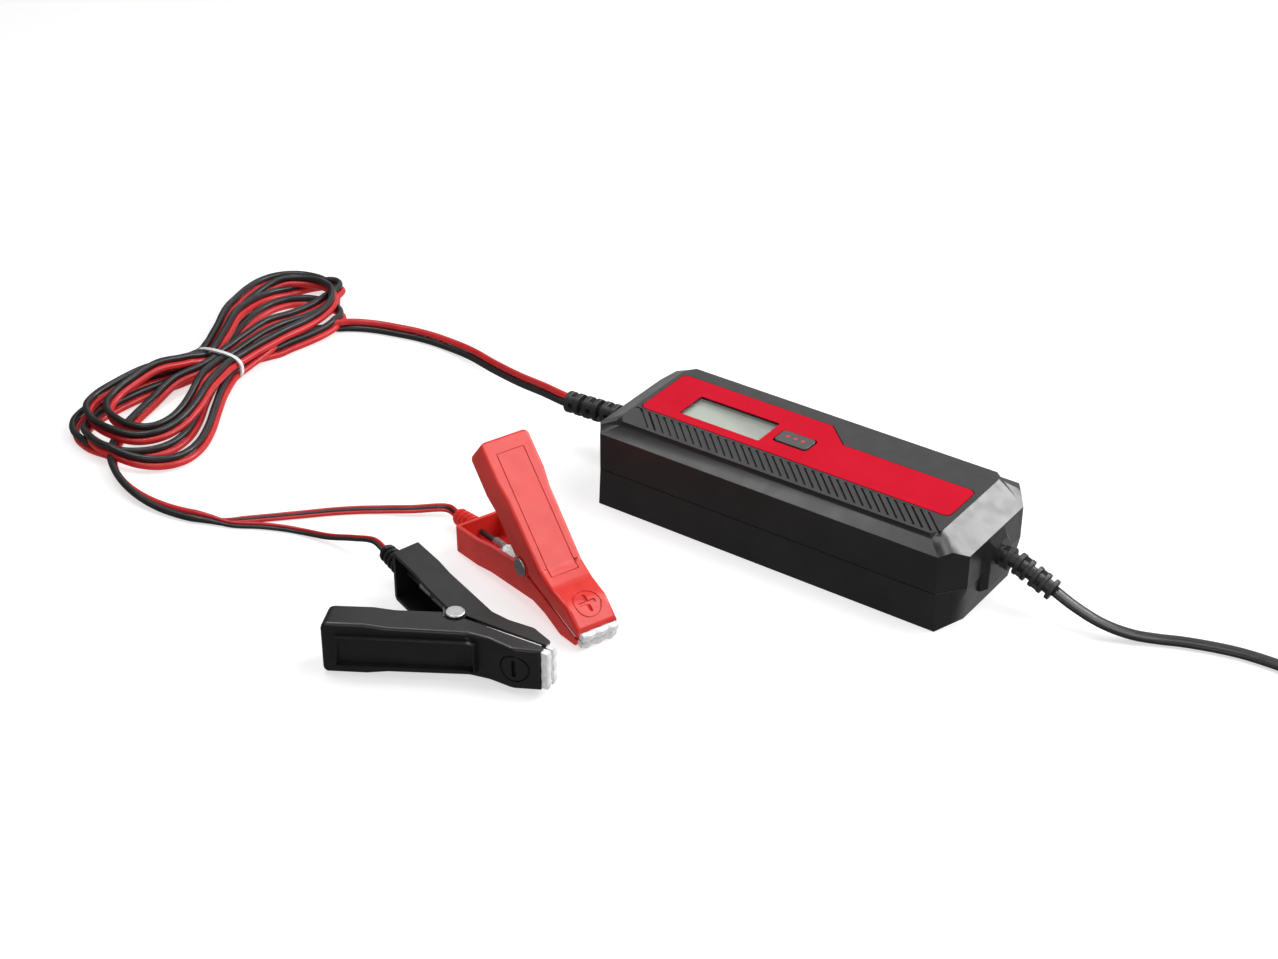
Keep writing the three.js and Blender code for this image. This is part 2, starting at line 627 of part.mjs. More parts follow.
// A pressed jaw: a channel with a closed tip and teeth along its edges.
const JAW_STATIONS = [[8, 4.2], [31, 5], [40.5, 2.1], [43.6, 1.7]];
function jaw(side) {
  const channel = (start, end, drop, half, mouth) => loft(JAW_STATIONS.map(([x, y], i) => {
    const along = i === 0 ? x + start : x + (i === 3 ? end : 0);
    return mirrored([
      [along, mouth, -half], [along, y - drop, -half], [along, y - drop, half], [along, mouth, half],
    ], side);
  }));
  const body = channel(0, 0, 0, 7, GAP / 2).subtract(channel(-1, -0.8, 0.8, 6.2, -1));
  const teeth = Array.from({ length: 6 }, (_, i) => {
    const x = 28 + i * 2.4;
    return solid(plate(mirrored([[x, -0.1], [x + 1.6, -0.1], [x + 0.8, 0.9]], side), -8, 16));
  });
  return cut(body, teeth);
}

// The spring: a coil about the pin and a leg along each handle.
function spring() {
  const leg = (side) => {
    const route = [[-1.2, 3.9, 5.4], [-12, 9.8, 5.4], [-25, 19.5, 5.4]]
      .map(([x, y, z]) => [x, side * y, side * z]);
    return solid(tube(route, 1.4, 1.4, 4, 8));
  };
  return union([solid(ring(PIN_R + 0.5, 4.4, -6.3, 6.3, 14)), leg(1), leg(-1)]);
}

// A bent strip of sheet, as wide as 2 x half.
function strip(points, thickness, half) {
  const back = points.map(([x, y]) => [x, y + thickness]).reverse();
  return solid(plate([...points, ...back], -half, 2 * half));
}

function wireLug() {
  const barrel = solid(laidOnHandle(turned([[0, 0], [2, 0], [2, 8], [0, 8]], 12), 21.5));
  const [x, y] = alongHandle(20);
  const tail = strip([[x, y - 0.4], [-10, 12.2], [0, 7.6], [7.4, 4.4]], 0.8, 3);
  const tab = solid(plate([[-11, 12.6], [-10, 12.9], [-7.4, 6], [-8.3, 5.7]], -4.4, 8.8));
  return union([barrel, tail, tab]);
}

function addClamp(colour, material, position, rotation) {
  const clamp = new THREE.Group();
  clamp.position.set(...position);
  clamp.rotation.set(...rotation, 'ZYX');
  charger.add(clamp);
  const name = (piece) => `${colour}_clamp_${piece}`;
  add(name('fixed_arm'), fixedArm(), material, clamp);
  add(name('moving_arm'), movingArm(), material, clamp);
  add(name('pivot_pin'), pivotPin(), STEEL, clamp);
  add(name('spring'), spring(), STEEL, clamp);
  add(name('fixed_jaw'), jaw(1), STEEL, clamp);
  add(name('moving_jaw'), jaw(-1), STEEL, clamp);
  add(name('wire_lug'), wireLug(), STEEL, clamp);
  const wireEnd = turned([[0, 0], [1.3, 0], [1.3, 10.8], [0, 10.8]], 12);
  add(name('wire_end'), laidOnHandle(wireEnd, 13.2), RUBBER, clamp);
  clamp.updateMatrixWorld(true);
  // The route of a lead ends straight on, at the tip of the boot.
  return [9, GAP].map((distance) => {
    const [x, y] = alongHandle(-BOOT_LENGTH - distance);
    return clamp.localToWorld(new THREE.Vector3(x, y, 0)).toArray();
  });
}

const degrees = THREE.MathUtils.degToRad;
// The red clamp rests on the back of its fixed arm, nose down. The black one lies on its side.
const NOSE_DOWN = [-Math.PI / 2, degrees(19.1), degrees(-19.8)];
const redBootEnd = addClamp('red', CLAMP_RED, [-59, -105, 18.8], NOSE_DOWN);
const blackBootEnd = addClamp('black', CLAMP_BLACK, [-60.7, -158.5, 11.8], [0, 0, degrees(5.4)]);

// ---------------------------------------------------------------- twin cable

const HANK = { x: -294, y: -47, turn: degrees(9.2), low: 1.6, high: 14 };
const CORD_Z = 1.9;

const dcTip = sleeveTip(DC_SLEEVE.length, DC_SLEEVE.angle);
const DC_RUN = [
  [-dcTip[0] - 2 * GAP, 0, dcTip[1]], [-130, 1, 20.9], [-141, 5, 18.8], [-162, 14, 13], [-186, 25, 7],
  [-208, 33, 3], [-225, 35, CORD_Z], [-239, 34, CORD_Z], [-252, 31, CORD_Z], [-262, 28, CORD_Z],
  [-268, 26, CORD_Z],
];
const DC_TAIL = [
  [-265, -143.5, CORD_Z], [-253, -146.5, CORD_Z], [-237, -148, CORD_Z], [-222, -146.5, CORD_Z],
  [-209, -143, CORD_Z], [-199, -138.5, CORD_Z],
];
const RED_LEAD = [
  [-199.4, -136.4, 1.2], [-192, -129.5, 1.2], [-180, -117.5, 1.2], [-168, -105.5, 1.2],
  [-155, -95, 1.6], [-142, -88, 3], ...redBootEnd,
];
const BLACK_LEAD = [
  [-197.6, -139.9, 1.2], [-187, -133, 1.2], [-172, -127, 1.2], [-157, -125, 3], [-143, -125, 7.6],
  ...blackBootEnd,
];
add('dc_cable_run', tube(DC_RUN, CORD_WIDTH, CORD_HEIGHT, 20), RUBBER);
add('dc_cable_tail', tube(DC_TAIL, CORD_WIDTH, CORD_HEIGHT, 8), RUBBER);
add('red_lead', tube(RED_LEAD, LEAD_WIDTH, LEAD_HEIGHT, 16, 8), RUBBER);
add('black_lead', tube(BLACK_LEAD, LEAD_WIDTH, LEAD_HEIGHT, 14, 8), RUBBER);

// The hank: two wide lobes of loops, pinched where the tie holds them. X is across it here.
function hank() {
  const half = [[13, 0], [22, 30], [31, 60], [24, 84], [2, 96], [-24, 86], [-37, 60], [-30, 30], [-13, 0]];
  const other = [[-26, -30], [-36, -58], [-26, -82], [2, -91], [28, -84], [37, -60], [28, -32]];
  const outline = new THREE.SplineCurve([...half, ...other, half[0]].map((p) => new THREE.Vector2(...p)));
  const points = outline.getPoints(40).slice(0, -1);
  return plate(points.map(({ x, y }) => [x, y]), HANK.low, HANK.high - HANK.low);
}
function placeInHank(geometry) {
  geometry.rotateZ(HANK.turn);
  return at(geometry, HANK.x, HANK.y, 0);
}
add('dc_cable_hank', placeInHank(hank()), RUBBER);

// A thin band round a bundle: an upright loop, wide along Y.
function band(left, right, low, high, width) {
  const thick = 1.1;
  const outer = roundedBox((left + right) / 2, (low + high) / 2, right - left, high - low, 1.6);
  const [innerWidth, innerHeight] = [right - left - 2 * thick, high - low - 2 * thick];
  const inner = roundedBox((left + right) / 2, (low + high) / 2, innerWidth, innerHeight, 0.6);
  const upright = (shape) => {
    const geometry = plate(shape, -width / 2, width, 3);
    geometry.rotateX(Math.PI / 2);
    return solid(geometry);
  };
  return geometryOf(upright(outer).subtract(upright(inner)));
}
add('hank_tie', placeInHank(band(-16, 16, 0.2, 15.5, 2.4)), TIE_WHITE);

// ---------------------------------------------------------------- mains cable

const COIL = { x: 250, y: 58, inner: 26.5, outer: 39.5, low: 1.6, high: 15.2 };
const MAINS_Z = 1.9;
const mainsTip = sleeveTip(MAINS_SLEEVE.length, MAINS_SLEEVE.angle);
const MAINS_RUN = [
  [mainsTip[0] + 2 * GAP, 0, mainsTip[1]], [126, 0.5, 10.8], [138, 2.5, 6], [149, 6.5, 3], [158, 11, MAINS_Z],
  [167, 15, MAINS_Z], [179, 19, MAINS_Z], [190, 21.5, MAINS_Z], [204, 22.5, MAINS_Z],
  [216, 22.2, MAINS_Z], [226.5, 22, MAINS_Z],
];
add('mains_cable_run', tube(MAINS_RUN, MAINS_WIDTH, MAINS_HEIGHT, 20), RUBBER);
add('mains_cable_coil', at(ring(COIL.inner, COIL.outer, COIL.low, COIL.high, 36), COIL.x, COIL.y, 0), RUBBER);
const coilTie = band(COIL.inner - 1.6, COIL.outer + 1.6, 0.2, COIL.high + 1.5, 2.4);
coilTie.rotateZ(degrees(60));
add('coil_tie', at(coilTie, COIL.x, COIL.y, 0), PART_BLACK);

const PLUG = { x: 254.1, y: 14, z: 7.1, turn: degrees(-30), pinSpacing: 18.6, pinLength: 19, bodyEnd: 50 };
const plug = new THREE.Group();
plug.position.set(PLUG.x, PLUG.y, PLUG.z);
plug.rotation.z = PLUG.turn;
charger.add(plug);

// A flat two-pin plug: a round sleeve that widens into a flat body.
function plugBody() {
  const sections = [
    [0, 3.4, 3.4], [12, 4.4, 4.4], [16, 9, 6], [26, 12.5, 6.8], [38, 16.5, 6.8], [PLUG.bodyEnd, 17.6, 6.8],
  ];
  return loft(sections.map(([x, halfWidth, halfHeight]) => {
    const cornerWidth = halfWidth * 0.7;
    const cornerHeight = halfHeight * 0.5;
    return [
      [x, cornerWidth, -halfHeight], [x, halfWidth, -cornerHeight], [x, halfWidth, cornerHeight],
      [x, cornerWidth, halfHeight], [x, -cornerWidth, halfHeight], [x, -halfWidth, cornerHeight],
      [x, -halfWidth, -cornerHeight], [x, -cornerWidth, -halfHeight],
    ];
  }));
}
add('plug_body', plugBody(), RUBBER, plug);
SIDES.forEach((side, i) => {
  const pin = turned([[0, 0], [2, 0], [2, PLUG.pinLength - 1], [1, PLUG.pinLength], [0, PLUG.pinLength]], 16);
  pin.rotateY(Math.PI / 2);
  add(`plug_pin_${i + 1}`, at(pin, PLUG.bodyEnd + GAP, side * PLUG.pinSpacing / 2, 0), STEEL, plug);
});

export default charger;
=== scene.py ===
"""A car battery charger: a slab-shaped case, a tied twin cable with two clamps, and a mains cable.

Shapes are in millimetres here and are scaled to metres as each mesh is made. Only the lights'
sizes and distances are in metres.
X runs along the case towards the mains cable, Y to the back, Z up.
"""
import json
import math

import bmesh
import bpy
import numpy as np
from mathutils import Matrix, Vector


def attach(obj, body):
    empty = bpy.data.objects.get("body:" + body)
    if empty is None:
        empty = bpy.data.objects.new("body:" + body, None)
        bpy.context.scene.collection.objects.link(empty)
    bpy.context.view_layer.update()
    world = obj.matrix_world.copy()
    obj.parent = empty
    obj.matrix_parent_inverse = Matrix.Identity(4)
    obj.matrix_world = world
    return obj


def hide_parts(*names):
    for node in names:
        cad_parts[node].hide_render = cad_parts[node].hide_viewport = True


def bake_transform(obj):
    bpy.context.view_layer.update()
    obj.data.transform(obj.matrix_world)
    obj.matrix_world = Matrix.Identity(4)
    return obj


MM = 0.001
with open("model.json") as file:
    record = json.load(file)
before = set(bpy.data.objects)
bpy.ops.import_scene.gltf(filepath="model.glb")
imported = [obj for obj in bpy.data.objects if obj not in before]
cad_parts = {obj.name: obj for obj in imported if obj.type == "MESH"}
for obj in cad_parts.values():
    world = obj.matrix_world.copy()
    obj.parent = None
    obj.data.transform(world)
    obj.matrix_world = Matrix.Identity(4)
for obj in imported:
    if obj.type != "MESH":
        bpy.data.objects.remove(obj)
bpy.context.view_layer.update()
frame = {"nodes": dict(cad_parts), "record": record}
UP = np.array([0.0, 0.0, 1.0])


# ---------------------------------------- camera

CAMERA_PLACE = (442.41, -749.06, 563.92)
CAMERA_AZIMUTH = -54.829        # degrees, from the X axis to the side that it looks from
CAMERA_ELEVATION = 31.888
CAMERA_ROLL = 0.188
FOCAL_LENGTH = 68.5
SENSOR_WIDTH = 36


def make_camera():
    data = bpy.data.cameras.new("camera")
    data.lens = FOCAL_LENGTH
    data.sensor_width = SENSOR_WIDTH
    data.clip_start = 0.01
    camera = bpy.data.objects.new("camera", data)
    bpy.context.collection.objects.link(camera)
    swing = Matrix.Rotation(math.radians(CAMERA_AZIMUTH + 90), 4, "Z")
    tilt = Matrix.Rotation(math.radians(90 - CAMERA_ELEVATION), 4, "X")
    roll = Matrix.Rotation(math.radians(CAMERA_ROLL), 4, "Z")
    camera.matrix_world = Matrix.Translation(Vector(CAMERA_PLACE) * MM) @ swing @ tilt @ roll
    bpy.context.scene.camera = camera


make_camera()


# ---------------------------------------- material nodes


class Nodes:
    """A short way to write a material's node tree."""

    def __init__(self, name):
        self.material = bpy.data.materials.new(name)
        self.material.use_nodes = True
        self.tree = self.material.node_tree
        self.shader = self.tree.nodes["Principled BSDF"]

    def node(self, kind, **settings):
        made = self.tree.nodes.new("ShaderNode" + kind)
        for key, value in settings.items():
            setattr(made, key, value)
        return made

    def join(self, source, target):
        self.tree.links.new(source, target)

    def place(self):
        return self.node("TexCoord").outputs["Object"]

    def noise(self, size_mm, detail=3.0, stretch=(1, 1, 1)):
        mapping = self.node("Mapping")
        mapping.inputs["Scale"].default_value = [s / (size_mm * MM) for s in stretch]
        self.join(self.place(), mapping.inputs["Vector"])
        noise = self.node("TexNoise")
        noise.inputs["Scale"].default_value = 1.0
        noise.inputs["Detail"].default_value = detail
        self.join(mapping.outputs["Vector"], noise.inputs["Vector"])
        return noise.outputs["Fac"]

    def ramp(self, value, *stops):
        ramp = self.node("ValToRGB")
        elements = ramp.color_ramp.elements
        while len(elements) < len(stops):
            elements.new(0.5)
        for element, (position, colour) in zip(elements, stops):
            element.position = position
            element.color = colour if len(colour) == 4 else (*colour, 1)
        self.join(value, ramp.inputs["Fac"])
        return ramp.outputs["Color"]

    def grey(self, value, low, high, start=0.35, end=0.65):
        return self.ramp(value, (start, (low,) * 3), (end, (high,) * 3))

    def colour(self, value):
        self.join(value, self.shader.inputs["Base Color"])

    def rough(self, value):
        self.join(value, self.shader.inputs["Roughness"])

    def bump(self, height, distance_mm, strength=1.0):
        bump = self.node("Bump")
        bump.inputs["Strength"].default_value = strength
        bump.inputs["Distance"].default_value = distance_mm * MM
        self.join(height, bump.inputs["Height"])
        self.join(bump.outputs["Normal"], self.shader.inputs["Normal"])

    def set(self, **values):
        for key, value in values.items():
            socket = self.shader.inputs[key.replace("_", " ")]
            if key == "Base_Color":
                value = (*value, 1)
            socket.default_value = value
        return self


def vinyl(name, dark, light, low=0.3, high=0.42):
    """Cable sheath: a satin skin with faint length-wise variation."""
    made = Nodes(name)
    made.colour(made.ramp(made.noise(9), (0.3, dark), (0.7, light)))
    made.rough(made.grey(made.noise(2.5), low, high))
    made.bump(made.noise(0.9, 2), 0.03, 0.5)
    return made.set(Specular_IOR_Level=0.5).material


BLACK_VINYL = vinyl("black_vinyl", (0.014, 0.014, 0.015), (0.022, 0.022, 0.023))
RED_VINYL = vinyl("red_vinyl", (0.50, 0.012, 0.016), (0.60, 0.022, 0.024))


# ---------------------------------------- meshes


def make_object(name, points, faces, materials, face_slots=None, smooth=True):
    """A mesh object in metres, from points in millimetres."""
    mesh = bpy.data.meshes.new(name)
    mesh.from_pydata((np.asarray(points, float) * MM).tolist(), [], faces)
    for material in materials:
        mesh.materials.append(material)
    if face_slots is not None:
        mesh.polygons.foreach_set("material_index", face_slots)
    if smooth:
        mesh.polygons.foreach_set("use_smooth", [True] * len(mesh.polygons))
    mesh.update()
    made = bpy.data.objects.new(name, mesh)
    bpy.context.collection.objects.link(made)
    return made


def unit(vectors):
    return vectors / np.linalg.norm(vectors, axis=-1, keepdims=True)


def spline(points, step):
    """A smooth curve through the points, cut at even steps (centripetal Catmull-Rom)."""
    points = np.asarray(points, float)
    ends = np.array([2 * points[0] - points[1], 2 * points[-1] - points[-2]])
    knots = np.vstack([ends[:1], points, ends[1:]])
    gaps = np.sqrt(np.linalg.norm(np.diff(knots, axis=0), axis=1))
    times = np.concatenate([[0], np.cumsum(gaps)])
    fine = []
    for i in range(1, len(knots) - 2):
        t0, t1, t2, t3 = times[i - 1:i + 3]
        t = np.linspace(t1, t2, 24, endpoint=False)[:, None]
        a, b, c, d = knots[i - 1:i + 3]
        ab = ((t1 - t) * a + (t - t0) * b) / (t1 - t0)
        bc = ((t2 - t) * b + (t - t1) * c) / (t2 - t1)
        cd = ((t3 - t) * c + (t - t2) * d) / (t3 - t2)
        abc = ((t2 - t) * ab + (t - t0) * bc) / (t2 - t0)
        bcd = ((t3 - t) * bc + (t - t1) * cd) / (t3 - t1)
        fine.append(((t2 - t) * abc + (t - t1) * bcd) / (t2 - t1))
    return resample(np.vstack([*fine, points[-1:]]), step)


def length_along(points):
    return np.concatenate([[0], np.cumsum(np.linalg.norm(np.diff(points, axis=0), axis=1))])


def resample(points, step):
    along = length_along(points)
    count = max(2, round(along[-1] / step))
    even = np.linspace(0, along[-1], count + 1)
    return np.stack([np.interp(even, along, points[:, k]) for k in range(3)], axis=1)


def directions(path):
    return unit(np.gradient(path, axis=0))


def across(path, wanted):
    """The wanted direction at each point, turned square to the path."""
    along = directions(path)
    return unit(wanted - (wanted * along).sum(1, keepdims=True) * along)


def skin_faces(rings, sides):
    """The skin over rings of points that follow each other, closed at both ends."""
    faces = []
    for ring in range(rings - 1):
        low, high = ring * sides, (ring + 1) * sides
        for k in range(sides):
            after = (k + 1) % sides
            faces.append((low + k, low + after, high + after, high + k))
    faces.append(tuple(range(sides))[::-1])
    last = (rings - 1) * sides
    faces.append(tuple(last + k for k in range(sides)))
    return faces


def tube_mesh(path, first, second, sides=12):
    """Rings about a path with caps: first and second are each ring's half-axes."""
    angles = np.arange(sides) * 2 * math.pi / sides
    rings = (path[:, None] + np.cos(angles)[:, None] * first[:, None]
             + np.sin(angles)[:, None] * second[:, None])
    return rings.reshape(-1, 3), skin_faces(len(path), sides)


def face_outwards(piece, triangles=False):
    """Turns every face of a closed shape outwards, cut into triangles first where asked."""
    work = bmesh.new()
    work.from_mesh(piece.data)
    if triangles:
        bmesh.ops.triangulate(work, faces=work.faces)
    bmesh.ops.recalc_face_normals(work, faces=work.faces)
    work.to_mesh(piece.data)
    work.free()


def strands_object(name, path, strands, materials):
    """Parallel strands about one path. Each is (offset vectors, radii, material slot)."""
    points, faces, slots = [], [], []
    for offset, radius, slot in strands:
        centre = path + offset
        along = directions(centre)
        side = unit(np.cross(along, UP) + 1e-9)
        top = np.cross(side, along)
        radius = np.broadcast_to(radius, len(path))[:, None]
        ring_points, ring_faces = tube_mesh(centre, top * radius, side * radius)
        start = sum(len(p) for p in points)
        points.append(ring_points)
        faces += [tuple(start + k for k in face) for face in ring_faces]
        slots += [slot] * len(ring_faces)
    return make_object(name, np.vstack(points), faces, materials, slots)


# ---------------------------------------- where the clamps lie

CLAMP_FRAMES = {
    "red": Matrix.Translation((-59, -105, 18.8)) @ (
        Matrix.Rotation(math.radians(-19.8), 4, "Z") @ Matrix.Rotation(math.radians(19.1), 4, "Y")
        @ Matrix.Rotation(-math.pi / 2, 4, "X")),
    "black": Matrix.Translation((-60.7, -158.5, 11.8)) @ Matrix.Rotation(math.radians(5.4), 4, "Z"),
}
TAIL_CENTRE = (-42.4, 27.7)
HANDLE_DIRECTION = (-0.906, 0.423)      # from the pin towards the tail of the fixed arm
BOOT_LENGTH = 17


def along_handle(distance):
    """A point on the fixed arm's handle line, inwards from its tail, in the clamp's own frame."""
    return tuple(t - d * distance for t, d in zip(TAIL_CENTRE, HANDLE_DIRECTION))


def clamp_point(colour, point):
    local = Vector((*point, 0)) if len(point) == 2 else Vector(point)
    return np.array(CLAMP_FRAMES[colour] @ local)


def boot_ends(colour):
    """The last two points of a lead: in line with the clamp's boot, and at its tip."""
    return [clamp_point(colour, along_handle(-BOOT_LENGTH - distance)) for distance in (9, 0.3)]


# ---------------------------------------- twin cable

STRAND = 3.2            # one strand's thickness; the twin is two of them
LEAD = 1.7              # the same, on the thin leads behind the fork
STEP = 2.0
CLEAR = 0.15            # how far the cords keep above the floor
HANK_PLACE = np.array([-294.0, -47.0, 0.0])
HANK_TURN = math.radians(9.2)
HANK_LEAN = unit(np.array([-0.6, 0.1, 0.8]))   # from the red strand to the black one
FLOOR = 3.1                                    # the middle of a twin that stands on the floor

DC_RUN = [
    (-123.45, 0, 21.2), (-130, 1, 20.9), (-141, 5, 18.8), (-162, 14, 13), (-186, 25, 7),
    (-208, 33, 4), (-225, 35, FLOOR), (-239, 34, FLOOR), (-252, 31, FLOOR), (-262, 28, FLOOR),
]
DC_ENTRY = [(-271, 23.5, FLOOR), (-279, 16, FLOOR), (-284.5, 4, FLOOR), (-286, -10, 3.6), (-285, -28, 4.4)]
DC_EXIT = [
    (-299.2, -70, 7), (-297, -88, 4), (-293.2, -104, FLOOR), (-288, -118, FLOOR), (-280.5, -130, FLOOR),
    (-270, -138.5, 2.8), (-259, -144, 2.4), (-248, -147, 2), (-236, -148, 1.9), (-222, -146.5, 1.9),
    (-209, -143, 1.9),
]
BLACK_LEAD = [
    (-197.6, -139.3, 1.2), (-187, -133, 1.2), (-172, -127, 1.2), (-157, -125, 3), (-143, -125, 7.6),
]
RED_LEAD_STEP = 1.5
RED_LEAD = [
    (-199.4, -136.4, 1.2), (-192, -129.5, 1.2), (-180, -117.5, 1.2), (-168, -105.5, 1.2),
    (-155, -95, 1.6), (-142, -88, 3),
]
# The loops of the hank, in the order in which they were wound, each lying on the one before:
# how far it reaches from the tie, its bulge to the left and right, and how far its end leans over.
LOWER_LOOPS = [(-88, 27, 25, 8), (-84, 25, 24, -4), (-76, 26, 16, 0), (-69, 21, 12, 2)]
UPPER_LOOPS = [(78, 16, 21, 6), (87, 18, 18, -2), (98, 22, 19, -9), (94, 21, 7, 7)]
# Where each pass goes through the tie, as (across, height).
DOWN_PASSES = [(10, 4.5), (3.5, 4.5), (9.3, 9.6), (4.6, 9.6), (0, 9.6)]
UP_PASSES = [(-3.5, 4.5), (-10, 4.5), (-9.5, 9.6), (-4.8, 9.6)]
POINTS_PER_LOOP = 16
LEVEL = 5.5             # how much higher each turn is wound than the one before
WIDEST = 2.32           # brings the widest swing of a loop's curve to 1


def hank_point(x, y, z):
    """A point given across and along the hank."""
    c, s = math.cos(HANK_TURN), math.sin(HANK_TURN)
    return HANK_PLACE + np.array([x * c - y * s, x * s + y * c, z])


def lobe(shape, start, end, level):
    """One loop, from the pass it comes out of to the pass it goes into."""
    reach, left, right, lean = shape
    side, bulges = (-1, (left, right)) if start[0] < end[0] else (1, (right, left))
    points = []
    for i in range(1, POINTS_PER_LOOP):
        t = math.pi * i / POINTS_PER_LOOP
        swing = WIDEST * math.sin(t) ** 1.5 * math.cos(t)
        bulge = bulges[0] if swing > 0 else bulges[1]
        share = (1 - math.cos(t)) / 2
        near_tie = 1 - math.sin(t) ** 2
        pass_x = start[0] + (end[0] - start[0]) * share
        x = side * swing * bulge + pass_x * near_tie + lean * (1 - near_tie)
        flare = min(1, math.sin(t) * 2.5)
        z = (start[1] + (end[1] - start[1]) * share) * (1 - flare) + level * flare
        points.append(hank_point(x, reach * math.sin(t), z))
    return points


def wound_hank():
    """The passes and loops between the run to the charger and the way out."""
    points = []
    for turn in range(len(LOWER_LOOPS)):
        down, up, down_again = DOWN_PASSES[turn], UP_PASSES[turn], DOWN_PASSES[turn + 1]
        base = FLOOR + LEVEL * (turn + 1)
        points.append(hank_point(down[0], 0, down[1]))
        points += lobe(LOWER_LOOPS[turn], down, up, base)
        points.append(hank_point(up[0], 0, up[1]))
        points += lobe(UPPER_LOOPS[turn], up, down_again, base)
    last = DOWN_PASSES[-1]
    points.append(hank_point(last[0], 0, last[1]))
    return points


def evened(values, rounds):
    for _ in range(rounds):
        values[1:-1] = (values[:-2] + 2 * values[1:-1] + values[2:]) / 4
    return values


FALLS = [0.25] * 220 + [0.03] * 50 + [0.0] * 60    # how far each round lets the hank fall
SETTLE_STEP = 3.0       # between the points that settle
NEIGHBOURS = 6          # points this close along the cord don't push each other
TIE_REACH = 7           # the tie holds the passes together within this distance


def settle(home, free):
    """Lets the hank fall onto itself: turns keep apart, lie on each other and stay smooth.

    A twin that stands on edge is twice as tall as wide, so distances along its lean count half.
    """
    index = np.arange(len(home))
    far_apart = np.abs(index[:, None] - index[None]) > NEIGHBOURS
    axis = hank_point(0, 1, 0) - hank_point(0, 0, 0)
    at_tie = ((np.abs((home - HANK_PLACE) @ axis) < TIE_REACH) & free)[:, None]
    movable = free[:, None].astype(float)
    clearance = STRAND * 1.05
    shift = np.zeros_like(home)
    for fall in FALLS:
        shift = shift - movable * np.array([0, 0, fall])
        shift = evened(shift * np.array([0.97, 0.97, 1]), 4) * movable
        shift = np.where(at_tie, shift * 0.7, shift)
        path = home + shift
        gap = path[:, None] - path[None]
        lean = gap @ HANK_LEAN
        distance = np.sqrt(np.maximum((gap ** 2).sum(2) - 0.75 * lean ** 2, 1e-6))
        lack = np.where(far_apart & (distance < clearance), clearance - distance, 0)
        push = (gap - 0.5 * lean[..., None] * HANK_LEAN) / distance[..., None]
        touching = np.maximum((lack > 0).sum(1), 1)[:, None]
        shift = shift + movable * (push * lack[..., None]).sum(1) / touching * 0.6
        floor = np.maximum(shift[:, 2], FLOOR - home[:, 2])
        shift[:, 2] = np.where(free, floor, shift[:, 2])
    return home + shift


def nearest(path, point):
    return int(np.argmin(np.linalg.norm(path - np.array(point), axis=1)))


def turned_along(path, keys):
    """A direction across the path: the wanted directions are given at distances along it."""
    along = length_along(path)
    distances = [distance for distance, _ in keys]
    wanted = [np.interp(along, distances, [way[axis] for _, way in keys]) for axis in range(3)]
    return across(path, np.stack(wanted, axis=1))


def dc_route():
    wound = [*DC_RUN, *DC_ENTRY, *wound_hank(), *DC_EXIT, *BLACK_LEAD, *boot_ends("black")]
    home = spline(wound, SETTLE_STEP)
    free = np.zeros(len(home), bool)
    free[nearest(home, DC_ENTRY[0]):nearest(home, DC_EXIT[5])] = True
    return spline(settle(home, free), STEP)


def make_dc_cable():
    path = dc_route()
    along = length_along(path)
    enter, leave, fork = (along[nearest(path, p)] for p in (DC_ENTRY[0], DC_EXIT[5], DC_EXIT[-1]))
    lean = turned_along(path, [
        (0, (-0.1, -0.35, -0.9)), (enter - 5, (-0.1, -0.6, -0.8)), (enter + 22, (-0.9, -0.3, 0.05)),
        (enter + 50, HANK_LEAN), (leave, HANK_LEAN), (leave + 40, (-0.55, -0.8, 0.1)),
        (fork, (-0.25, -0.9, -0.2)), (fork + 30, (0, -0.9, -0.3)), (along[-1], (0.2, -0.95, 0)),
    ])
    thin = np.clip((along - fork + 6) / 14, 0, 1)
    radius = (STRAND * (1 - thin) + LEAD * thin) / 2
    half = lean * radius[:, None]
    path[:, 2] = np.maximum(path[:, 2], radius + np.abs(half[:, 2]) + CLEAR)
    strands = [(half, radius, 0), (-half, radius, 1)]
    cable = strands_object("dc_cable", path, strands, [BLACK_VINYL, RED_VINYL])
    return cable, path


def make_red_lead():
    """The lead to the red clamp: red along both edges and dark in the middle."""
    path = spline([DC_EXIT[-1], *RED_LEAD, *boot_ends("red")], RED_LEAD_STEP)
    side = turned_along(path, [(0, (-0.4, 0.9, 0.2)), (60, (-0.5, 0.7, 0.5)), (200, (-0.3, 0.6, 0.7))])
    grow = np.clip(length_along(path) / 14, 0.5, 1)
    radius = 0.95 * grow
    edge = side * 1.15 * grow[:, None]
    path[:, 2] = np.maximum(path[:, 2], 0.85 * radius + np.abs(edge[:, 2]) + CLEAR)
    strands = [(side * 0, radius, 0), (edge, radius * 0.85, 1), (-edge, radius * 0.85, 1)]
    return strands_object("red_lead_cord", path, strands, [BLACK_VINYL, RED_VINYL]), path


def declare_cord(piece, path, diameter, nodes, **facts):
    """Attaches a cord to the charger and hides the CAD pieces that it replaces. Its route, its diameter and
    the other facts given are not used.
    """
    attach(piece, "charger")
    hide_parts(*nodes)


dc_cable, dc_path = make_dc_cable()
red_lead, red_path = make_red_lead()


# ---------------------------------------- mains cable

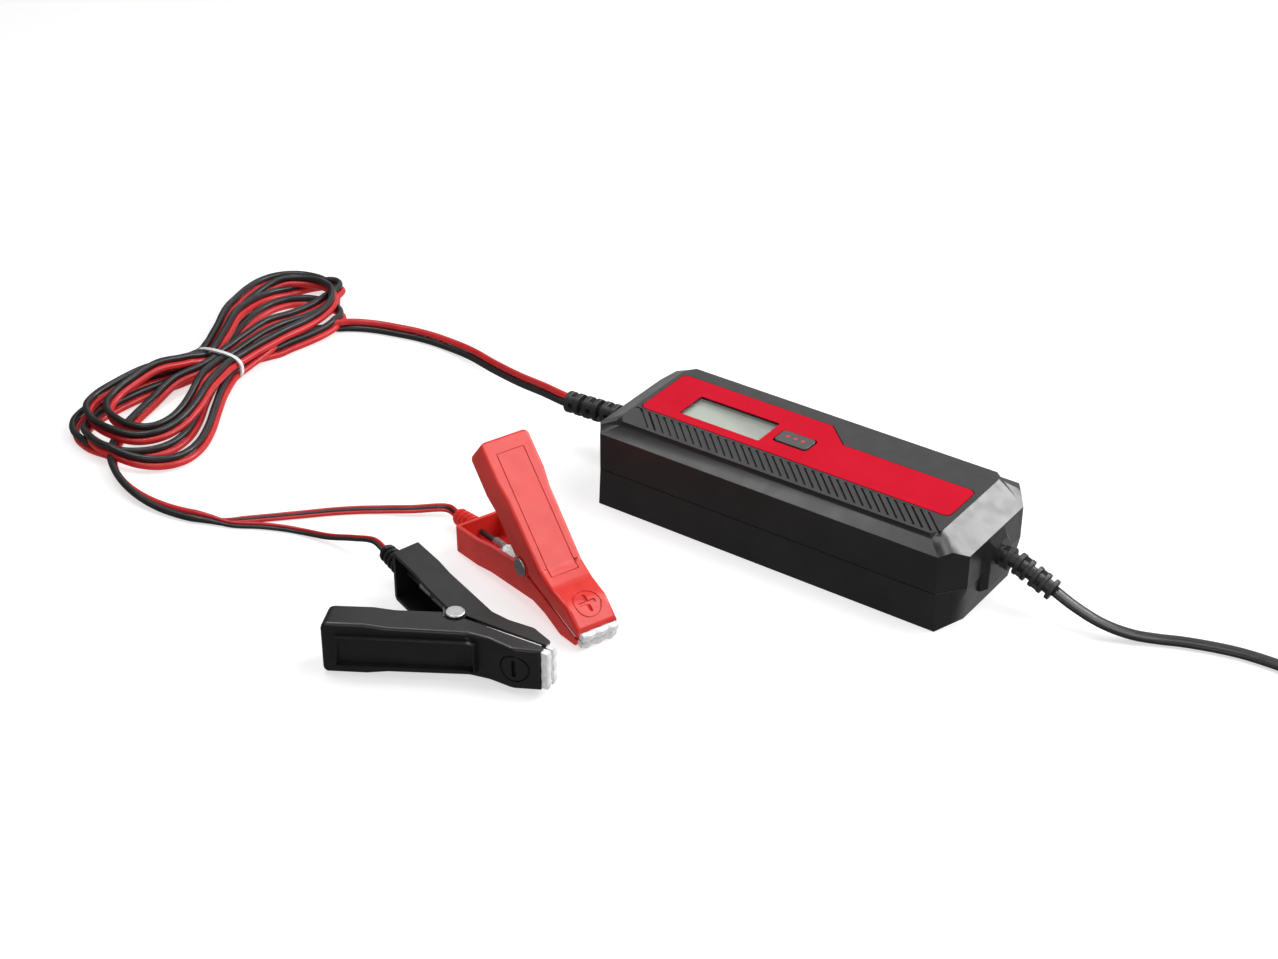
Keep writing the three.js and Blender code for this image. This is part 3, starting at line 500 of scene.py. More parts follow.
MAINS_HALF = (3.0, 1.7)
MAINS_Z = 1.9
MAINS_RUN = [
    (116.9, 0, 15.1), (126, 0.5, 10.8), (138, 2.5, 6), (149, 6.5, 3), (158, 11, MAINS_Z),
    (167, 15, MAINS_Z), (179, 19, MAINS_Z), (190, 21.5, MAINS_Z), (204, 22.5, MAINS_Z),
    (216, 22.2, MAINS_Z), (228, 22, MAINS_Z), (240, 22, MAINS_Z),
]
COIL_PLACE = (250, 58)
COIL_RADII = (36, 30)
COIL_LAYER = 3.45
COIL_STATES = [(0, 0), (1, 0), (1, 1), (0, 1), (0, 2), (1, 2), (1, 3), (0, 3)]  # column and layer
STATE_ANGLE = math.radians(330)
SHIFT_ANGLE = math.radians(28)
COIL_ANGLE = math.radians(6 * 360 + 320)
COIL_POINTS = 24
# From the end of the coil to the plug.
MAINS_EXIT = [(243, 21.5, 12.0), (252.2, 16.2, 8.6), (254.0, 15.1, 7.6)]


def coil_point(angle):
    """A point of the coil: it steps to the next column or layer a little earlier each turn."""
    state = min(int(angle / STATE_ANGLE), len(COIL_STATES) - 1)
    into = angle - state * STATE_ANGLE
    start = max(state - 1, 0)
    share = min(1, into / SHIFT_ANGLE)
    share = share * share * (3 - 2 * share)
    (column_a, layer_a), (column_b, layer_b) = COIL_STATES[start], COIL_STATES[state]
    radius = COIL_RADII[column_a] * (1 - share) + COIL_RADII[column_b] * share
    layer = layer_a * (1 - share) + layer_b * share
    turn = angle - math.pi / 2
    return (COIL_PLACE[0] + radius * math.cos(turn), COIL_PLACE[1] + radius * math.sin(turn),
            MAINS_Z + COIL_LAYER * layer)


def make_mains_cable():
    count = int(COIL_ANGLE / (2 * math.pi) * COIL_POINTS)
    coil = [coil_point(COIL_ANGLE * i / count) for i in range(count + 1)]
    path = spline([*MAINS_RUN, *coil, *MAINS_EXIT], STEP)
    along = directions(path)
    side = unit(np.cross(along, UP))
    top = np.cross(side, along)
    points, faces = tube_mesh(path, side * MAINS_HALF[0], top * MAINS_HALF[1], 20)
    return make_object("mains_cable", points, faces, [BLACK_VINYL]), path


mains_cable, mains_path = make_mains_cable()


# ---------------------------------------- finer copies of the CAD pieces


def refined(node, name, rounding, least_angle=28, segments=3, pick=None, reshape=None):
    """A copy of a CAD piece with flat faces joined up and its outward edges rounded.

    pick gives the share of the rounding for an edge, from its middle in millimetres, its direction
    and its angle. reshape moves a corner before the rounding."""
    mesh = frame["nodes"][node].data.copy()
    mesh.materials.clear()
    made = bpy.data.objects.new(name, mesh)
    bpy.context.collection.objects.link(made)
    work = bmesh.new()
    work.from_mesh(mesh)
    bmesh.ops.remove_doubles(work, verts=work.verts, dist=0.00001)
    if reshape:
        for corner in work.verts:
            corner.co = reshape(corner.co / MM) * MM
    bmesh.ops.dissolve_limit(work, angle_limit=math.radians(1.2), verts=work.verts, edges=work.edges)
    weights = work.edges.layers.float.new("bevel_weight_edge")
    for edge in work.edges:
        if len(edge.link_faces) != 2:
            continue
        angle = math.degrees(edge.calc_face_angle_signed(0))
        if pick:
            ends = [corner.co / MM for corner in edge.verts]
            edge[weights] = pick((ends[0] + ends[1]) / 2, (ends[1] - ends[0]).normalized(), angle)
        elif angle >= least_angle:
            edge[weights] = 1.0
    work.to_mesh(mesh)
    work.free()
    bevel = made.modifiers.new("round", "BEVEL")
    bevel.limit_method = "WEIGHT"
    bevel.width = rounding * MM
    bevel.segments = segments
    bevel.harden_normals = False
    return made


def settle_modifiers(piece):
    """Bakes the modifiers into the mesh."""
    graph = bpy.context.evaluated_depsgraph_get()
    mesh = bpy.data.meshes.new_from_object(piece.evaluated_get(graph))
    old = piece.data
    piece.modifiers.clear()
    piece.data = mesh
    bpy.data.meshes.remove(old)
    return piece


def carve(piece, cutter):
    """Cuts a closed shape out of a piece and takes the shape away."""
    cut = piece.modifiers.new("cut", "BOOLEAN")
    cut.object = cutter
    cut.operation = "DIFFERENCE"
    cut.solver = "EXACT"
    settle_modifiers(piece)
    bpy.data.objects.remove(cutter)
    return piece


def shade(piece, materials, angle=32):
    """Smooth shading with crisp edges, flat faces kept flat."""
    piece.data.materials.clear()
    for material in materials:
        piece.data.materials.append(material)
    piece.data.polygons.foreach_set("use_smooth", [True] * len(piece.data.polygons))
    piece.data.set_sharp_from_angle(angle=math.radians(angle))
    weighted = piece.modifiers.new("normals", "WEIGHTED_NORMAL")
    weighted.keep_sharp = True
    return piece


def prism(outline, low, high):
    """A straight-sided block over an outline, as points and faces."""
    count = len(outline)
    points = [(x, y, z) for z in (low, high) for x, y in outline]
    faces = [tuple(range(count))[::-1], tuple(range(count, 2 * count))]
    for k in range(count):
        after = (k + 1) % count
        faces.append((k, after, count + after, count + k))
    return points, faces


def joined(parts):
    """One list of points and faces out of several."""
    points, faces = [], []
    for part_points, part_faces in parts:
        start = len(points)
        points += [tuple(p) for p in part_points]
        faces += [tuple(start + k for k in face) for face in part_faces]
    return points, faces


# ---------------------------------------- case


def moulded(name, dark, light, low, high, grain=0.35):
    """Moulded plastic: a fine spark-eroded grain over a satin skin."""
    made = Nodes(name)
    made.colour(made.ramp(made.noise(14), (0.35, dark), (0.65, light)))
    made.rough(made.grey(made.noise(6), low, high))
    made.bump(made.noise(0.22, 2), 0.02, grain)
    return made.set(Specular_IOR_Level=0.5).material


CASE_BLACK = moulded("case_black", (0.012, 0.012, 0.0125), (0.015, 0.015, 0.0155), 0.29, 0.35)

LABEL_EDGE = -13.6
PLATEAU_Z = 41.0
SLASH_PITCH = 3.9
SLASH_COUNT = 37
SLASH_FIRST = -74.2
SLASH_REACH = 11.6
SLASH_HALF = 0.34
SLASH_DEPTH = 0.9
CASE_ROUNDING = 0.8


def slash_outline(x):
    """One groove of the grip strip: a short tick beside the label, then a long slant."""
    top, w = LABEL_EDGE - 1.1, SLASH_HALF
    end = (x + SLASH_REACH, top - SLASH_REACH)
    return [
        (x - 2.6, top + w), (x - 2.6, top - w), (x - 0.4 * w, top - w), (end[0] - w, end[1] - w),
        (end[0] + w, end[1] + w), (x + 1.2 * w, top + w),
    ]


def make_case():
    cover = refined("top_cover", "case_cover", CASE_ROUNDING)
    settle_modifiers(cover)
    starts = [SLASH_FIRST + i * SLASH_PITCH for i in range(SLASH_COUNT)]
    slashes = [prism(slash_outline(x), PLATEAU_Z - SLASH_DEPTH, PLATEAU_Z + 1) for x in starts]
    points, faces = joined(slashes)
    carve(cover, make_object("slashes", points, faces, [], smooth=False))
    base = refined("bottom_case", "case_base", CASE_ROUNDING)
    settle_modifiers(base)
    for piece, node in ((cover, "top_cover"), (base, "bottom_case")):
        shade(piece, [CASE_BLACK])
        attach(piece, "charger")
        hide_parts(node)


make_case()

# ---------------------------------------- label, display and key


def glossy_print():
    made = Nodes("label_red")
    made.colour(made.ramp(made.noise(30), (0.3, (0.50, 0.005, 0.020)), (0.7, (0.54, 0.007, 0.024))))
    made.rough(made.grey(made.noise(4), 0.44, 0.52))
    made.bump(made.noise(0.5, 2), 0.008, 0.3)
    return made.set(Specular_IOR_Level=0.03).material


# Colours of the display from the near edge of its window to the far one: painted shade, darkest under the
# window's far edge.
DISPLAY_PAINTED_SHADE = (
    (0.0, (0.40, 0.46, 0.40)), (0.45, (0.33, 0.37, 0.32)),
    (0.62, (0.23, 0.24, 0.21)), (1.0, (0.17, 0.16, 0.14)),
)


def display_painted_shade():
    """The unlit display: grey-green, with painted shade that darkens it under the far edge of its window."""
    made = Nodes("display_painted_shade")
    mapping = made.node("Mapping")
    mapping.inputs["Rotation"].default_value = (0, 0, math.radians(-68))
    made.join(made.place(), mapping.inputs["Vector"])
    split = made.node("SeparateXYZ")
    made.join(mapping.outputs["Vector"], split.inputs["Vector"])
    across_it = made.node("MapRange")
    across_it.inputs["From Min"].default_value = -0.030
    across_it.inputs["From Max"].default_value = 0.004
    made.join(split.outputs["X"], across_it.inputs["Value"])
    # The ramp paints shade across the display, darkening it towards the window's far edge.
    made.colour(made.ramp(across_it.outputs["Result"], *DISPLAY_PAINTED_SHADE))
    made.rough(made.grey(made.noise(3), 0.3, 0.36))
    return made.set(Specular_IOR_Level=0.4).material


def clear_lens():
    made = Nodes("clear_lens")
    made.colour(made.ramp(made.noise(20), (0.3, (0.72, 0.76, 0.70)), (0.7, (0.76, 0.80, 0.74))))
    made.rough(made.grey(made.noise(5), 0.08, 0.12))
    return made.set(Alpha=0.12, Specular_IOR_Level=0.25).material


KEY_DARK = moulded("key_dark", (0.050, 0.048, 0.050), (0.060, 0.058, 0.060), 0.30, 0.38)
KEY_RED = moulded("key_red", (0.60, 0.008, 0.03), (0.66, 0.010, 0.035), 0.35, 0.4)
KEY_DOTS = (-10.1, -6.4, -2.7)
KEY_DOT_RADIUS = 0.9
KEY_MIDDLE = (-6.4, 0.9)
KEY_TOP = 41.6


def disc_points(radius, count=24):
    return [(radius * math.cos(2 * math.pi * k / count), radius * math.sin(2 * math.pi * k / count))
            for k in range(count)]


def make_front():
    label = refined("front_label", "label_overlay", 0.12, segments=2)
    settle_modifiers(label)
    shade(label, [glossy_print()])
    key = refined("mode_button", "mode_key", 0.45)
    settle_modifiers(key)
    shade(key, [KEY_DARK])
    dots = []
    for x in KEY_DOTS:
        outline = [(x + a, KEY_MIDDLE[1] + 0.4 + b) for a, b in disc_points(KEY_DOT_RADIUS)]
        dots.append(prism(outline, KEY_TOP - 0.05, KEY_TOP + 0.06))
    marks = make_object("key_dots", *joined(dots), [KEY_RED], smooth=False)
    for piece, node, body, slot in (
            (label, "front_label", "charger", "label_red"), (key, "mode_button", "mode_button", "button"),
            (marks, None, "mode_button", "label_red")):
        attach(piece, body)
        if node:
            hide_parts(node)


make_front()


# ---------------------------------------- materials of the pieces that stay


def metal(name, dark, light, low=0.22, high=0.36, stretch=(1, 1, 1), metallic=1.0):
    """Plated or drawn metal with faint marks. A dull plating is less than fully metallic."""
    made = Nodes(name)
    made.colour(made.ramp(made.noise(3, stretch=stretch), (0.3, dark), (0.7, light)))
    made.rough(made.grey(made.noise(1.2, stretch=stretch), low, high))
    made.bump(made.noise(0.4, 2), 0.02, 0.3)
    return made.set(Metallic=metallic).material


NICKEL = metal("nickel", (0.62, 0.62, 0.62), (0.74, 0.74, 0.74))
STEEL = metal("screw_steel", (0.42, 0.42, 0.43), (0.52, 0.52, 0.53))
COPPER = metal("copper", (0.62, 0.30, 0.16), (0.75, 0.40, 0.24), stretch=(1, 1, 8))
ALUMINIUM = metal("aluminium", (0.60, 0.60, 0.61), (0.70, 0.70, 0.71), stretch=(6, 1, 1))
RUBBER = moulded("rubber_black", (0.016, 0.016, 0.017), (0.024, 0.024, 0.025), 0.40, 0.50)
TIE_WHITE = moulded("tie_white", (0.66, 0.66, 0.67), (0.76, 0.76, 0.77), 0.35, 0.45)
BOARD = moulded("board_green", (0.010, 0.12, 0.04), (0.014, 0.17, 0.06), 0.3, 0.4)
PART_BLACK = moulded("part_black", (0.02, 0.02, 0.02), (0.03, 0.03, 0.03), 0.4, 0.55)
PART_YELLOW = moulded("part_yellow", (0.62, 0.42, 0.06), (0.72, 0.52, 0.10), 0.4, 0.5)
PART_BLUE = moulded("part_blue", (0.02, 0.07, 0.30), (0.04, 0.10, 0.38), 0.3, 0.4)
FERRITE = moulded("ferrite", (0.05, 0.05, 0.055), (0.08, 0.08, 0.085), 0.6, 0.75)
SLOT_MATERIALS = {
    "screw_steel": STEEL, "nickel": NICKEL, "copper": COPPER, "aluminium": ALUMINIUM, "rubber_black": RUBBER,
    "tie_white": TIE_WHITE, "board_green": BOARD, "part_black": PART_BLACK, "part_yellow": PART_YELLOW,
    "part_blue": PART_BLUE, "ferrite": FERRITE, "display": display_painted_shade(), "window_clear": clear_lens(),
}


def dress_kept_nodes():
    """Gives each CAD piece that still shows the material of its slot."""
    for entry in frame["record"]["subparts"]:
        if entry["material_slot"] in SLOT_MATERIALS:
            piece = frame["nodes"][entry["node"]]
            piece.data.materials.clear()
            piece.data.materials.append(SLOT_MATERIALS[entry["material_slot"]])


dress_kept_nodes()


# ---------------------------------------- clamps

# The outer face of an arm from its tail to its jaw: the distance along the clamp and the distance
# from its middle plane.
ARM_PROFILE = np.array([
    (-40.3, 33.5), (11.5, 8.8), (20, 7.6), (31, 8.4), (40.8, 4.4),
])
# Corners of the plainer CAD face that come onto that line: along the clamp, from and to.
STRAIGHTENED = ((-24.8, 26.4, 26.11), (-17.2, 21.2, 22.485), (0, 13.8, 14.284))
PANEL_ENDS = (-34.5, 14.8)      # the recessed panel, along the clamp
PANEL_HALF = 6.6
PANEL_LINE = 0.5
PANEL_DEPTH = 0.4
SIGN_MIDDLE = 31.5              # the circle with the plus or minus
SIGN_RADIUS = 6.0
SIGN_LINE = 0.5
SIGN_REACH = 3.8
SIGN_STROKE = 0.85
SIGN_DEPTH = 0.85
SIGN_POINTS = 40
MARK_DEPTH = 0.6
CUTTER_TOP = 2.5                # how far the cutting shapes stand above the face
BEND_FADE = 9                   # a bend nearer than this to the panel's end is rounded less
TIP_START, TIP_END = 41.1, 44.0
TIP_HALF = 8.3
TIP_BITE, TIP_MIDDLE, TIP_OUTER = 0.3, 1.9, 3.5     # distances from the clamp's middle plane
TIP_STEPS = 34
TOOTH_PITCH = 2.8
RIM = (7.3, 9.35)               # the moving jaw's folded rims, along the pin


def outer_height(x):
    return float(np.interp(x, ARM_PROFILE[:, 0], ARM_PROFILE[:, 1]))


def in_clamp(colour, side, points):
    """Points of a clamp: the fixed arm's side is 1 and the moving arm's is -1."""
    return [clamp_point(colour, (x, side * y, z)) for x, y, z in points]


def over_face(start, end, low, high):
    """The outline of a strip that follows the outer face, between two heights above it."""
    stops = [start] + [x for x in ARM_PROFILE[:, 0] if start < x < end] + [end]
    return [(x, outer_height(x) + low) for x in stops] + [(x, outer_height(x) + high) for x in stops[::-1]]


def cut_out(piece, colour, side, points, faces):
    """Cuts a closed shape, given in the clamp's own frame, out of an arm."""
    cutter = make_object("cutter", in_clamp(colour, side, points), faces, [], smooth=False)
    face_outwards(cutter, triangles=True)
    carve(piece, cutter)


def cut_strip(piece, colour, side, start, end, across_it, depth):
    """Cuts a shallow rectangle into the outer face."""
    points, faces = prism(over_face(start, end, -depth, CUTTER_TOP), *across_it)
    cut_out(piece, colour, side, points, faces)


def cut_ring(piece, colour, side):
    """Cuts the circle's line into the outer face."""
    points, faces = [], []
    corners = [(SIGN_RADIUS, -MARK_DEPTH), (SIGN_RADIUS - SIGN_LINE, -MARK_DEPTH),
               (SIGN_RADIUS - SIGN_LINE, CUTTER_TOP), (SIGN_RADIUS, CUTTER_TOP)]
    for k in range(SIGN_POINTS):
        angle = 2 * math.pi * k / SIGN_POINTS
        for radius, height in corners:
            x = SIGN_MIDDLE + radius * math.cos(angle)
            points.append((x, outer_height(x) + height, radius * math.sin(angle)))
    for k in range(SIGN_POINTS):
        here, after = 4 * k, 4 * ((k + 1) % SIGN_POINTS)
        for c in range(4):
            d = (c + 1) % 4
            faces.append((here + c, here + d, after + d, after + c))
    cut_out(piece, colour, side, points, faces)


def arm_weights(colour):
    """How much each edge of an arm is rounded: the tail's corners most, the panel's bend least."""
    back = CLAMP_FRAMES[colour].inverted()

    def weight(middle, direction, angle):
        x, y, z = back @ middle
        outward = abs(y) - outer_height(x)
        along_pin = abs((back.to_3x3() @ direction).z)
        if abs(angle) < 28:
            is_bend = abs(angle) > 4 and outward > -0.6 and along_pin > 0.95
            return min(1.0, abs(x - PANEL_ENDS[1]) / BEND_FADE) if is_bend else 0.0
        if angle < 0:
            return 0.0
        if x < -38 and abs(z) > 11 and outward < -1.5:
            return 1.0
        return 0.5 if outward > -0.6 else 0.0
    return weight


def arm_corners(colour):
    """Straightens the outer face between the tail and the neck."""
    place = CLAMP_FRAMES[colour]
    back = place.inverted()

    def reshaped(corner):
        x, y, z = back @ corner
        for at, height, wanted in STRAIGHTENED:
            if abs(x - at) < 0.5 and abs(abs(y) - height) < 0.5:
                y = math.copysign(wanted, y)
        return place @ Vector((x, y, z))
    return reshaped


def make_arm(colour, part, side, body, material):
    node = f"{colour}_clamp_{part}_arm"
    arm = refined(node, f"{colour}_grip_{part}", 2.8, segments=4, pick=arm_weights(colour),
                  reshape=arm_corners(colour))
    settle_modifiers(arm)
    start, end = PANEL_ENDS
    for edge in (-1, 1):
        across_it = sorted((edge * PANEL_HALF, edge * (PANEL_HALF - PANEL_LINE)))
        cut_strip(arm, colour, side, start, end, across_it, PANEL_DEPTH)
    for low in (start, end):
        cut_strip(arm, colour, side, low, low + PANEL_LINE, (-PANEL_HALF, PANEL_HALF), PANEL_DEPTH)
    cut_ring(arm, colour, side)
    low, high = SIGN_MIDDLE - SIGN_STROKE, SIGN_MIDDLE + SIGN_STROKE
    cut_strip(arm, colour, side, low, high, (-SIGN_REACH, SIGN_REACH), SIGN_DEPTH)
    if colour == "red":
        low, high = SIGN_MIDDLE - SIGN_REACH, SIGN_MIDDLE + SIGN_REACH
        cut_strip(arm, colour, side, low, high, (-SIGN_STROKE, SIGN_STROKE), SIGN_DEPTH)
    shade(arm, [material], angle=24)
    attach(arm, body)
    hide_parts(node)


def box_points(x, y, z):
    """A block between two corners, as points and faces."""
    return prism([(x[0], y[0]), (x[1], y[0]), (x[1], y[1]), (x[0], y[1])], z[0], z[1])


def wavy_tip():
    """The folded metal tip: its biting edge is toothed and its outer edge gently waved."""
    outline = []
    for k in range(TIP_STEPS + 1):
        z = -TIP_HALF + 2 * TIP_HALF * k / TIP_STEPS
        outline.append((z, TIP_BITE + 0.5 * abs(math.sin(z * math.pi / TOOTH_PITCH))))
    for k in range(TIP_STEPS + 1):
        z = TIP_HALF - 2 * TIP_HALF * k / TIP_STEPS
        outline.append((z, TIP_OUTER + 0.28 * math.cos(z * math.pi / TOOTH_PITCH)))
    points = []
    layers = [(TIP_START, 0.94), (TIP_START + 0.5, 1.0), (TIP_END - 0.9, 1.0), (TIP_END, 0.8)]
    for x, scale in layers:
        for z, y in outline:
            wave = 0.25 * math.cos(z * math.pi / TOOTH_PITCH)
            points.append((x + wave, TIP_MIDDLE + (y - TIP_MIDDLE) * scale, z))
    return points, skin_faces(len(layers), len(outline))


def make_jaw(colour, part, side, body):
    node = f"{colour}_clamp_{part}_jaw"
    jaw = refined(node, f"{colour}_bite_{part}", 0.12, segments=2)
    settle_modifiers(jaw)
    parts = [wavy_tip()]
    if part == "moving":
        rims = [(-RIM[1], -RIM[0]), RIM]
        parts += [box_points((13, 39.5), (0.25, 0.62), rim) for rim in rims]
    else:
        bracket = [(-13, 10.4), (-9.5, 6.5), (-7.2, 1.2), (-6.2, 1.4), (-8.6, 7.0), (-12.4, 11.2)]
        parts.append(prism(bracket, -6.2, 4.2))
    points, faces = joined(parts)
    extra = make_object("extra", in_clamp(colour, side, points), faces, [], smooth=False)
    face_outwards(extra, triangles=True)
    work = bmesh.new()
    work.from_mesh(jaw.data)
    work.from_mesh(extra.data)
    work.to_mesh(jaw.data)
    work.free()
    bpy.data.objects.remove(extra)
    shade(jaw, [BRIGHT_METAL], angle=40)
    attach(jaw, body)
    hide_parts(node)


def clamp_plastic(name, dark, light):
    """Smoother moulded plastic than the case's."""
    made = Nodes(name)
    made.colour(made.ramp(made.noise(12), (0.35, dark), (0.65, light)))
    made.rough(made.grey(made.noise(5), 0.30, 0.38))
    made.bump(made.noise(0.3, 2), 0.02, 0.3)
    return made.set(Specular_IOR_Level=0.5).material


CLAMP_PLASTIC = {
    "red": clamp_plastic("clamp_red", (0.66, 0.026, 0.020), (0.72, 0.034, 0.025)),
    "black": clamp_plastic("clamp_black", (0.009, 0.009, 0.0095), (0.012, 0.012, 0.0125)),
}
BRIGHT_METAL = metal("bright_metal", (0.84, 0.84, 0.84), (0.92, 0.92, 0.92), 0.30, 0.42, metallic=0.35)
PIN_METAL = metal("pin_metal", (0.55, 0.55, 0.56), (0.64, 0.64, 0.65), 0.42, 0.5)


def make_spring(colour):
    """A rounded copy of the clamp's coil spring, with its place baked into the mesh."""
    node = f"{colour}_clamp_spring"
    spring = refined(node, f"{colour}_coil_spring", 0.2, segments=2)
    settle_modifiers(spring)
    shade(spring, [STEEL], angle=50)
    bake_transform(spring)
    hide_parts(node)


def make_clamps():
    for colour in ("red", "black"):
        for part, side, body in (("fixed", 1, "charger"), ("moving", -1, f"{colour}_clamp_arm")):
            make_arm(colour, part, side, body, CLAMP_PLASTIC[colour])
            make_jaw(colour, part, side, body)
        pin = refined(f"{colour}_clamp_pivot_pin", f"{colour}_rivet", 0.35)
        settle_modifiers(pin)
        shade(pin, [PIN_METAL], angle=40)
        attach(pin, "charger")
        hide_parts(f"{colour}_clamp_pivot_pin")
        make_spring(colour)


make_clamps()


# ---------------------------------------- strain reliefs, ties, plug

OUTLET_Z = 22.5
SLEEVE_START = 92.7
SLEEVE_STRAIGHT = 2             # from the root to where the droop begins
SLEEVE_ROOT = 1.2               # from the case to the first gap
RING_TAPER = 0.07               # how much smaller each ring is than the one before
SLEEVE_CURVE = 0.05             # curvature of the drooping stretch, 1/mm
SLEEVE_SIDES = 48
FLANGE = (-9.9, -6.4, 5.0)      # inside the case: from, to and radius
NECK_RADIUS = 3.8
BAR_ARC = math.radians(25)      # half of what a bar between two rings covers


def sleeve_axis(distance, angle):
    """The middle of a sleeve at a distance from its root, and its slope there."""
    curved = distance - SLEEVE_STRAIGHT
    turned = min(max(curved, 0) * SLEEVE_CURVE, angle)
    beyond = max(curved - angle / SLEEVE_CURVE, 0)
    straight = min(distance, SLEEVE_STRAIGHT)
    x = SLEEVE_START + straight + math.sin(turned) / SLEEVE_CURVE + beyond * math.cos(angle)
    z = OUTLET_Z - (1 - math.cos(turned)) / SLEEVE_CURVE - beyond * math.sin(angle)
    return x, z, turned


def sleeve_profile(length, rings, ring_radius, core_radius, ring_share):
    """Stations along a sleeve: distance, radius, and radius and direction of the bars there."""
    low, high, flange = FLANGE
    stations = [(low, flange, None), (high, flange, None), (high + 0.05, NECK_RADIUS, None),
                (SLEEVE_ROOT, NECK_RADIUS, None)]
    pitch = (length - SLEEVE_ROOT) / rings
    for ring in range(rings):
        start = SLEEVE_ROOT + ring * pitch
        wide = pitch * (1 - ring_share)
        radius = ring_radius - RING_TAPER * ring
        stations += [(start + 0.05, core_radius, ring), (start + wide - 0.05, core_radius, ring)]
        stations += [(start + wide, radius - 0.25, None), (start + wide + 0.25, radius, None),
                     (start + pitch - 0.3, radius, None), (start + pitch - 0.05, radius - 0.25, None)]
    return stations


def make_sleeve(name, node, side, length, angle, rings, ring_radius, core_radius, ring_share):
    """Rings about the cable, joined by pairs of bars that are turned a quarter from gap to gap."""
    points = []
    stations = sleeve_profile(length, rings, ring_radius, core_radius, ring_share)
    for distance, radius, gap in stations:
        x, z, slope = sleeve_axis(distance, angle)
        for k in range(SLEEVE_SIDES):
            turn = 2 * math.pi * k / SLEEVE_SIDES
            here = radius
            if gap is not None:
                towards = turn - (gap % 2) * math.pi / 2 - math.pi / 4
                if abs(math.remainder(towards, math.pi)) < BAR_ARC:
                    here = ring_radius - RING_TAPER * gap - 0.3
            up, out = here * math.cos(turn), here * math.sin(turn)
            points.append((side * (x + up * math.sin(slope)), out, z + up * math.cos(slope)))
    sleeve = make_object(name, points, skin_faces(len(stations), SLEEVE_SIDES), [RUBBER])
    face_outwards(sleeve)
    shade(sleeve, [RUBBER], angle=30)
    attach(sleeve, "charger")
    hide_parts(node)


TIE_THICK = 0.9
TIE_WIDTH = 1.9
TIE_POINTS = 72
TIE_SQUARENESS = 0.72           # below 1, the band is squarer than an ellipse


def make_hank_tie():
    """A thin band drawn round all the passes of the hank."""
    c, s = math.cos(HANK_TURN), math.sin(HANK_TURN)
    offset = dc_path - HANK_PLACE
    cross_x = offset[:, 0] * c + offset[:, 1] * s
    cross_y = -offset[:, 0] * s + offset[:, 1] * c
    inside = np.abs(cross_y) < 2
    reach = STRAND * 0.5
    left, right = cross_x[inside].min() - reach * 1.6, cross_x[inside].max() + reach * 1.6
    top = dc_path[inside, 2].max() + reach * 1.8
    middle = ((left + right) / 2, (top + TIE_THICK) / 2)
    half = ((right - left) / 2 + 0.5, (top - TIE_THICK) / 2 + 0.6)
    loop = []
    for k in range(TIE_POINTS):
        angle = 2 * math.pi * k / TIE_POINTS
        x, z = (math.copysign(abs(f) ** TIE_SQUARENESS, f) for f in (math.cos(angle), math.sin(angle)))
        loop.append((middle[0] + half[0] * x, middle[1] + half[1] * z))
    points, faces = [], []
    for k in range(TIE_POINTS):
        x, z = loop[k]
        away = Vector((x - middle[0], z - middle[1])).normalized() * TIE_THICK / 2
        for along, out in ((-1, -1), (1, -1), (1, 1), (-1, 1)):
            height = max(z + away.y * out, CLEAR)
            points.append(hank_point(x + away.x * out, along * TIE_WIDTH / 2, height))
        here, after = 4 * k, 4 * ((k + 1) % TIE_POINTS)
        faces += [(here + q, here + (q + 1) % 4, after + (q + 1) % 4, after + q) for q in range(4)]
    tie = make_object("hank_band", points, faces, [TIE_WHITE])
    face_outwards(tie)
    shade(tie, [TIE_WHITE], angle=50)
    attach(tie, "charger")
    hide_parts("hank_tie")


ROUNDED_NODES = (
    # node, name of the rounded copy, rounding, material, slot
    ("plug_body", "mains_plug", 1.2, RUBBER, "rubber_black"),
    ("plug_pin_1", "mains_pin_1", 0.5, NICKEL, "nickel"),
    ("plug_pin_2", "mains_pin_2", 0.5, NICKEL, "nickel"),
    ("coil_tie", "coil_band", 0.3, PART_BLACK, "part_black"),
)


def make_rounded():
    for node, name, rounding, material, slot in ROUNDED_NODES:
        piece = refined(node, name, rounding)
        settle_modifiers(piece)
        shade(piece, [material])
        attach(piece, "charger")
        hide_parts(node)


make_sleeve("dc_sleeve", "dc_strain_relief", side=-1, length=30.9, angle=0.05, rings=6,
            ring_radius=5.25, core_radius=2.7, ring_share=0.52)
make_sleeve("mains_sleeve", "mains_strain_relief", side=1, length=25.9, angle=0.4, rings=6,
            ring_radius=5.0, core_radius=3.0, ring_share=0.46)
make_hank_tie()
make_rounded()

declare_cord(dc_cable, dc_path, 2 * STRAND,
             ["dc_cable_run", "dc_cable_hank", "dc_cable_tail", "black_lead"],
             far_end="object", stiffness="limp", lay="coiled")
declare_cord(red_lead, red_path, 2 * LEAD + 0.6, ["red_lead"],
             far_end="object", stiffness="limp", lay="loose")
declare_cord(mains_cable, mains_path, 2 * MAINS_HALF[0], ["mains_cable_run", "mains_cable_coil"],
             far_end="plug", stiffness="medium", lay="coiled",
             with_pieces=[entry[1] for entry in ROUNDED_NODES])


# ---------------------------------------- floor, lights


def pale_floor():
    """A white light table: pale and lit a little from below, so that shadows on it stay faint."""
    made = Nodes("pale_floor")
    made.colour(made.ramp(made.noise(900), (0.3, (0.50, 0.50, 0.50)), (0.7, (0.51, 0.51, 0.51))))
    made.shader.inputs["Emission Color"].default_value = (1, 1, 1, 1)
    return made.set(Emission_Strength=0.62, Roughness=0.9, Specular_IOR_Level=0.0).material


FLOOR_REACH = 3000


def make_floor():
    corners = [(x * FLOOR_REACH, y * FLOOR_REACH, 0) for x, y in ((-1, -1), (1, -1), (1, 1), (-1, 1))]
    floor = make_object("floor", corners, [(0, 1, 2, 3)], [pale_floor()], smooth=False)
    floor.visible_glossy = False      # reflections don't show it, so the dark walls stay free of glare


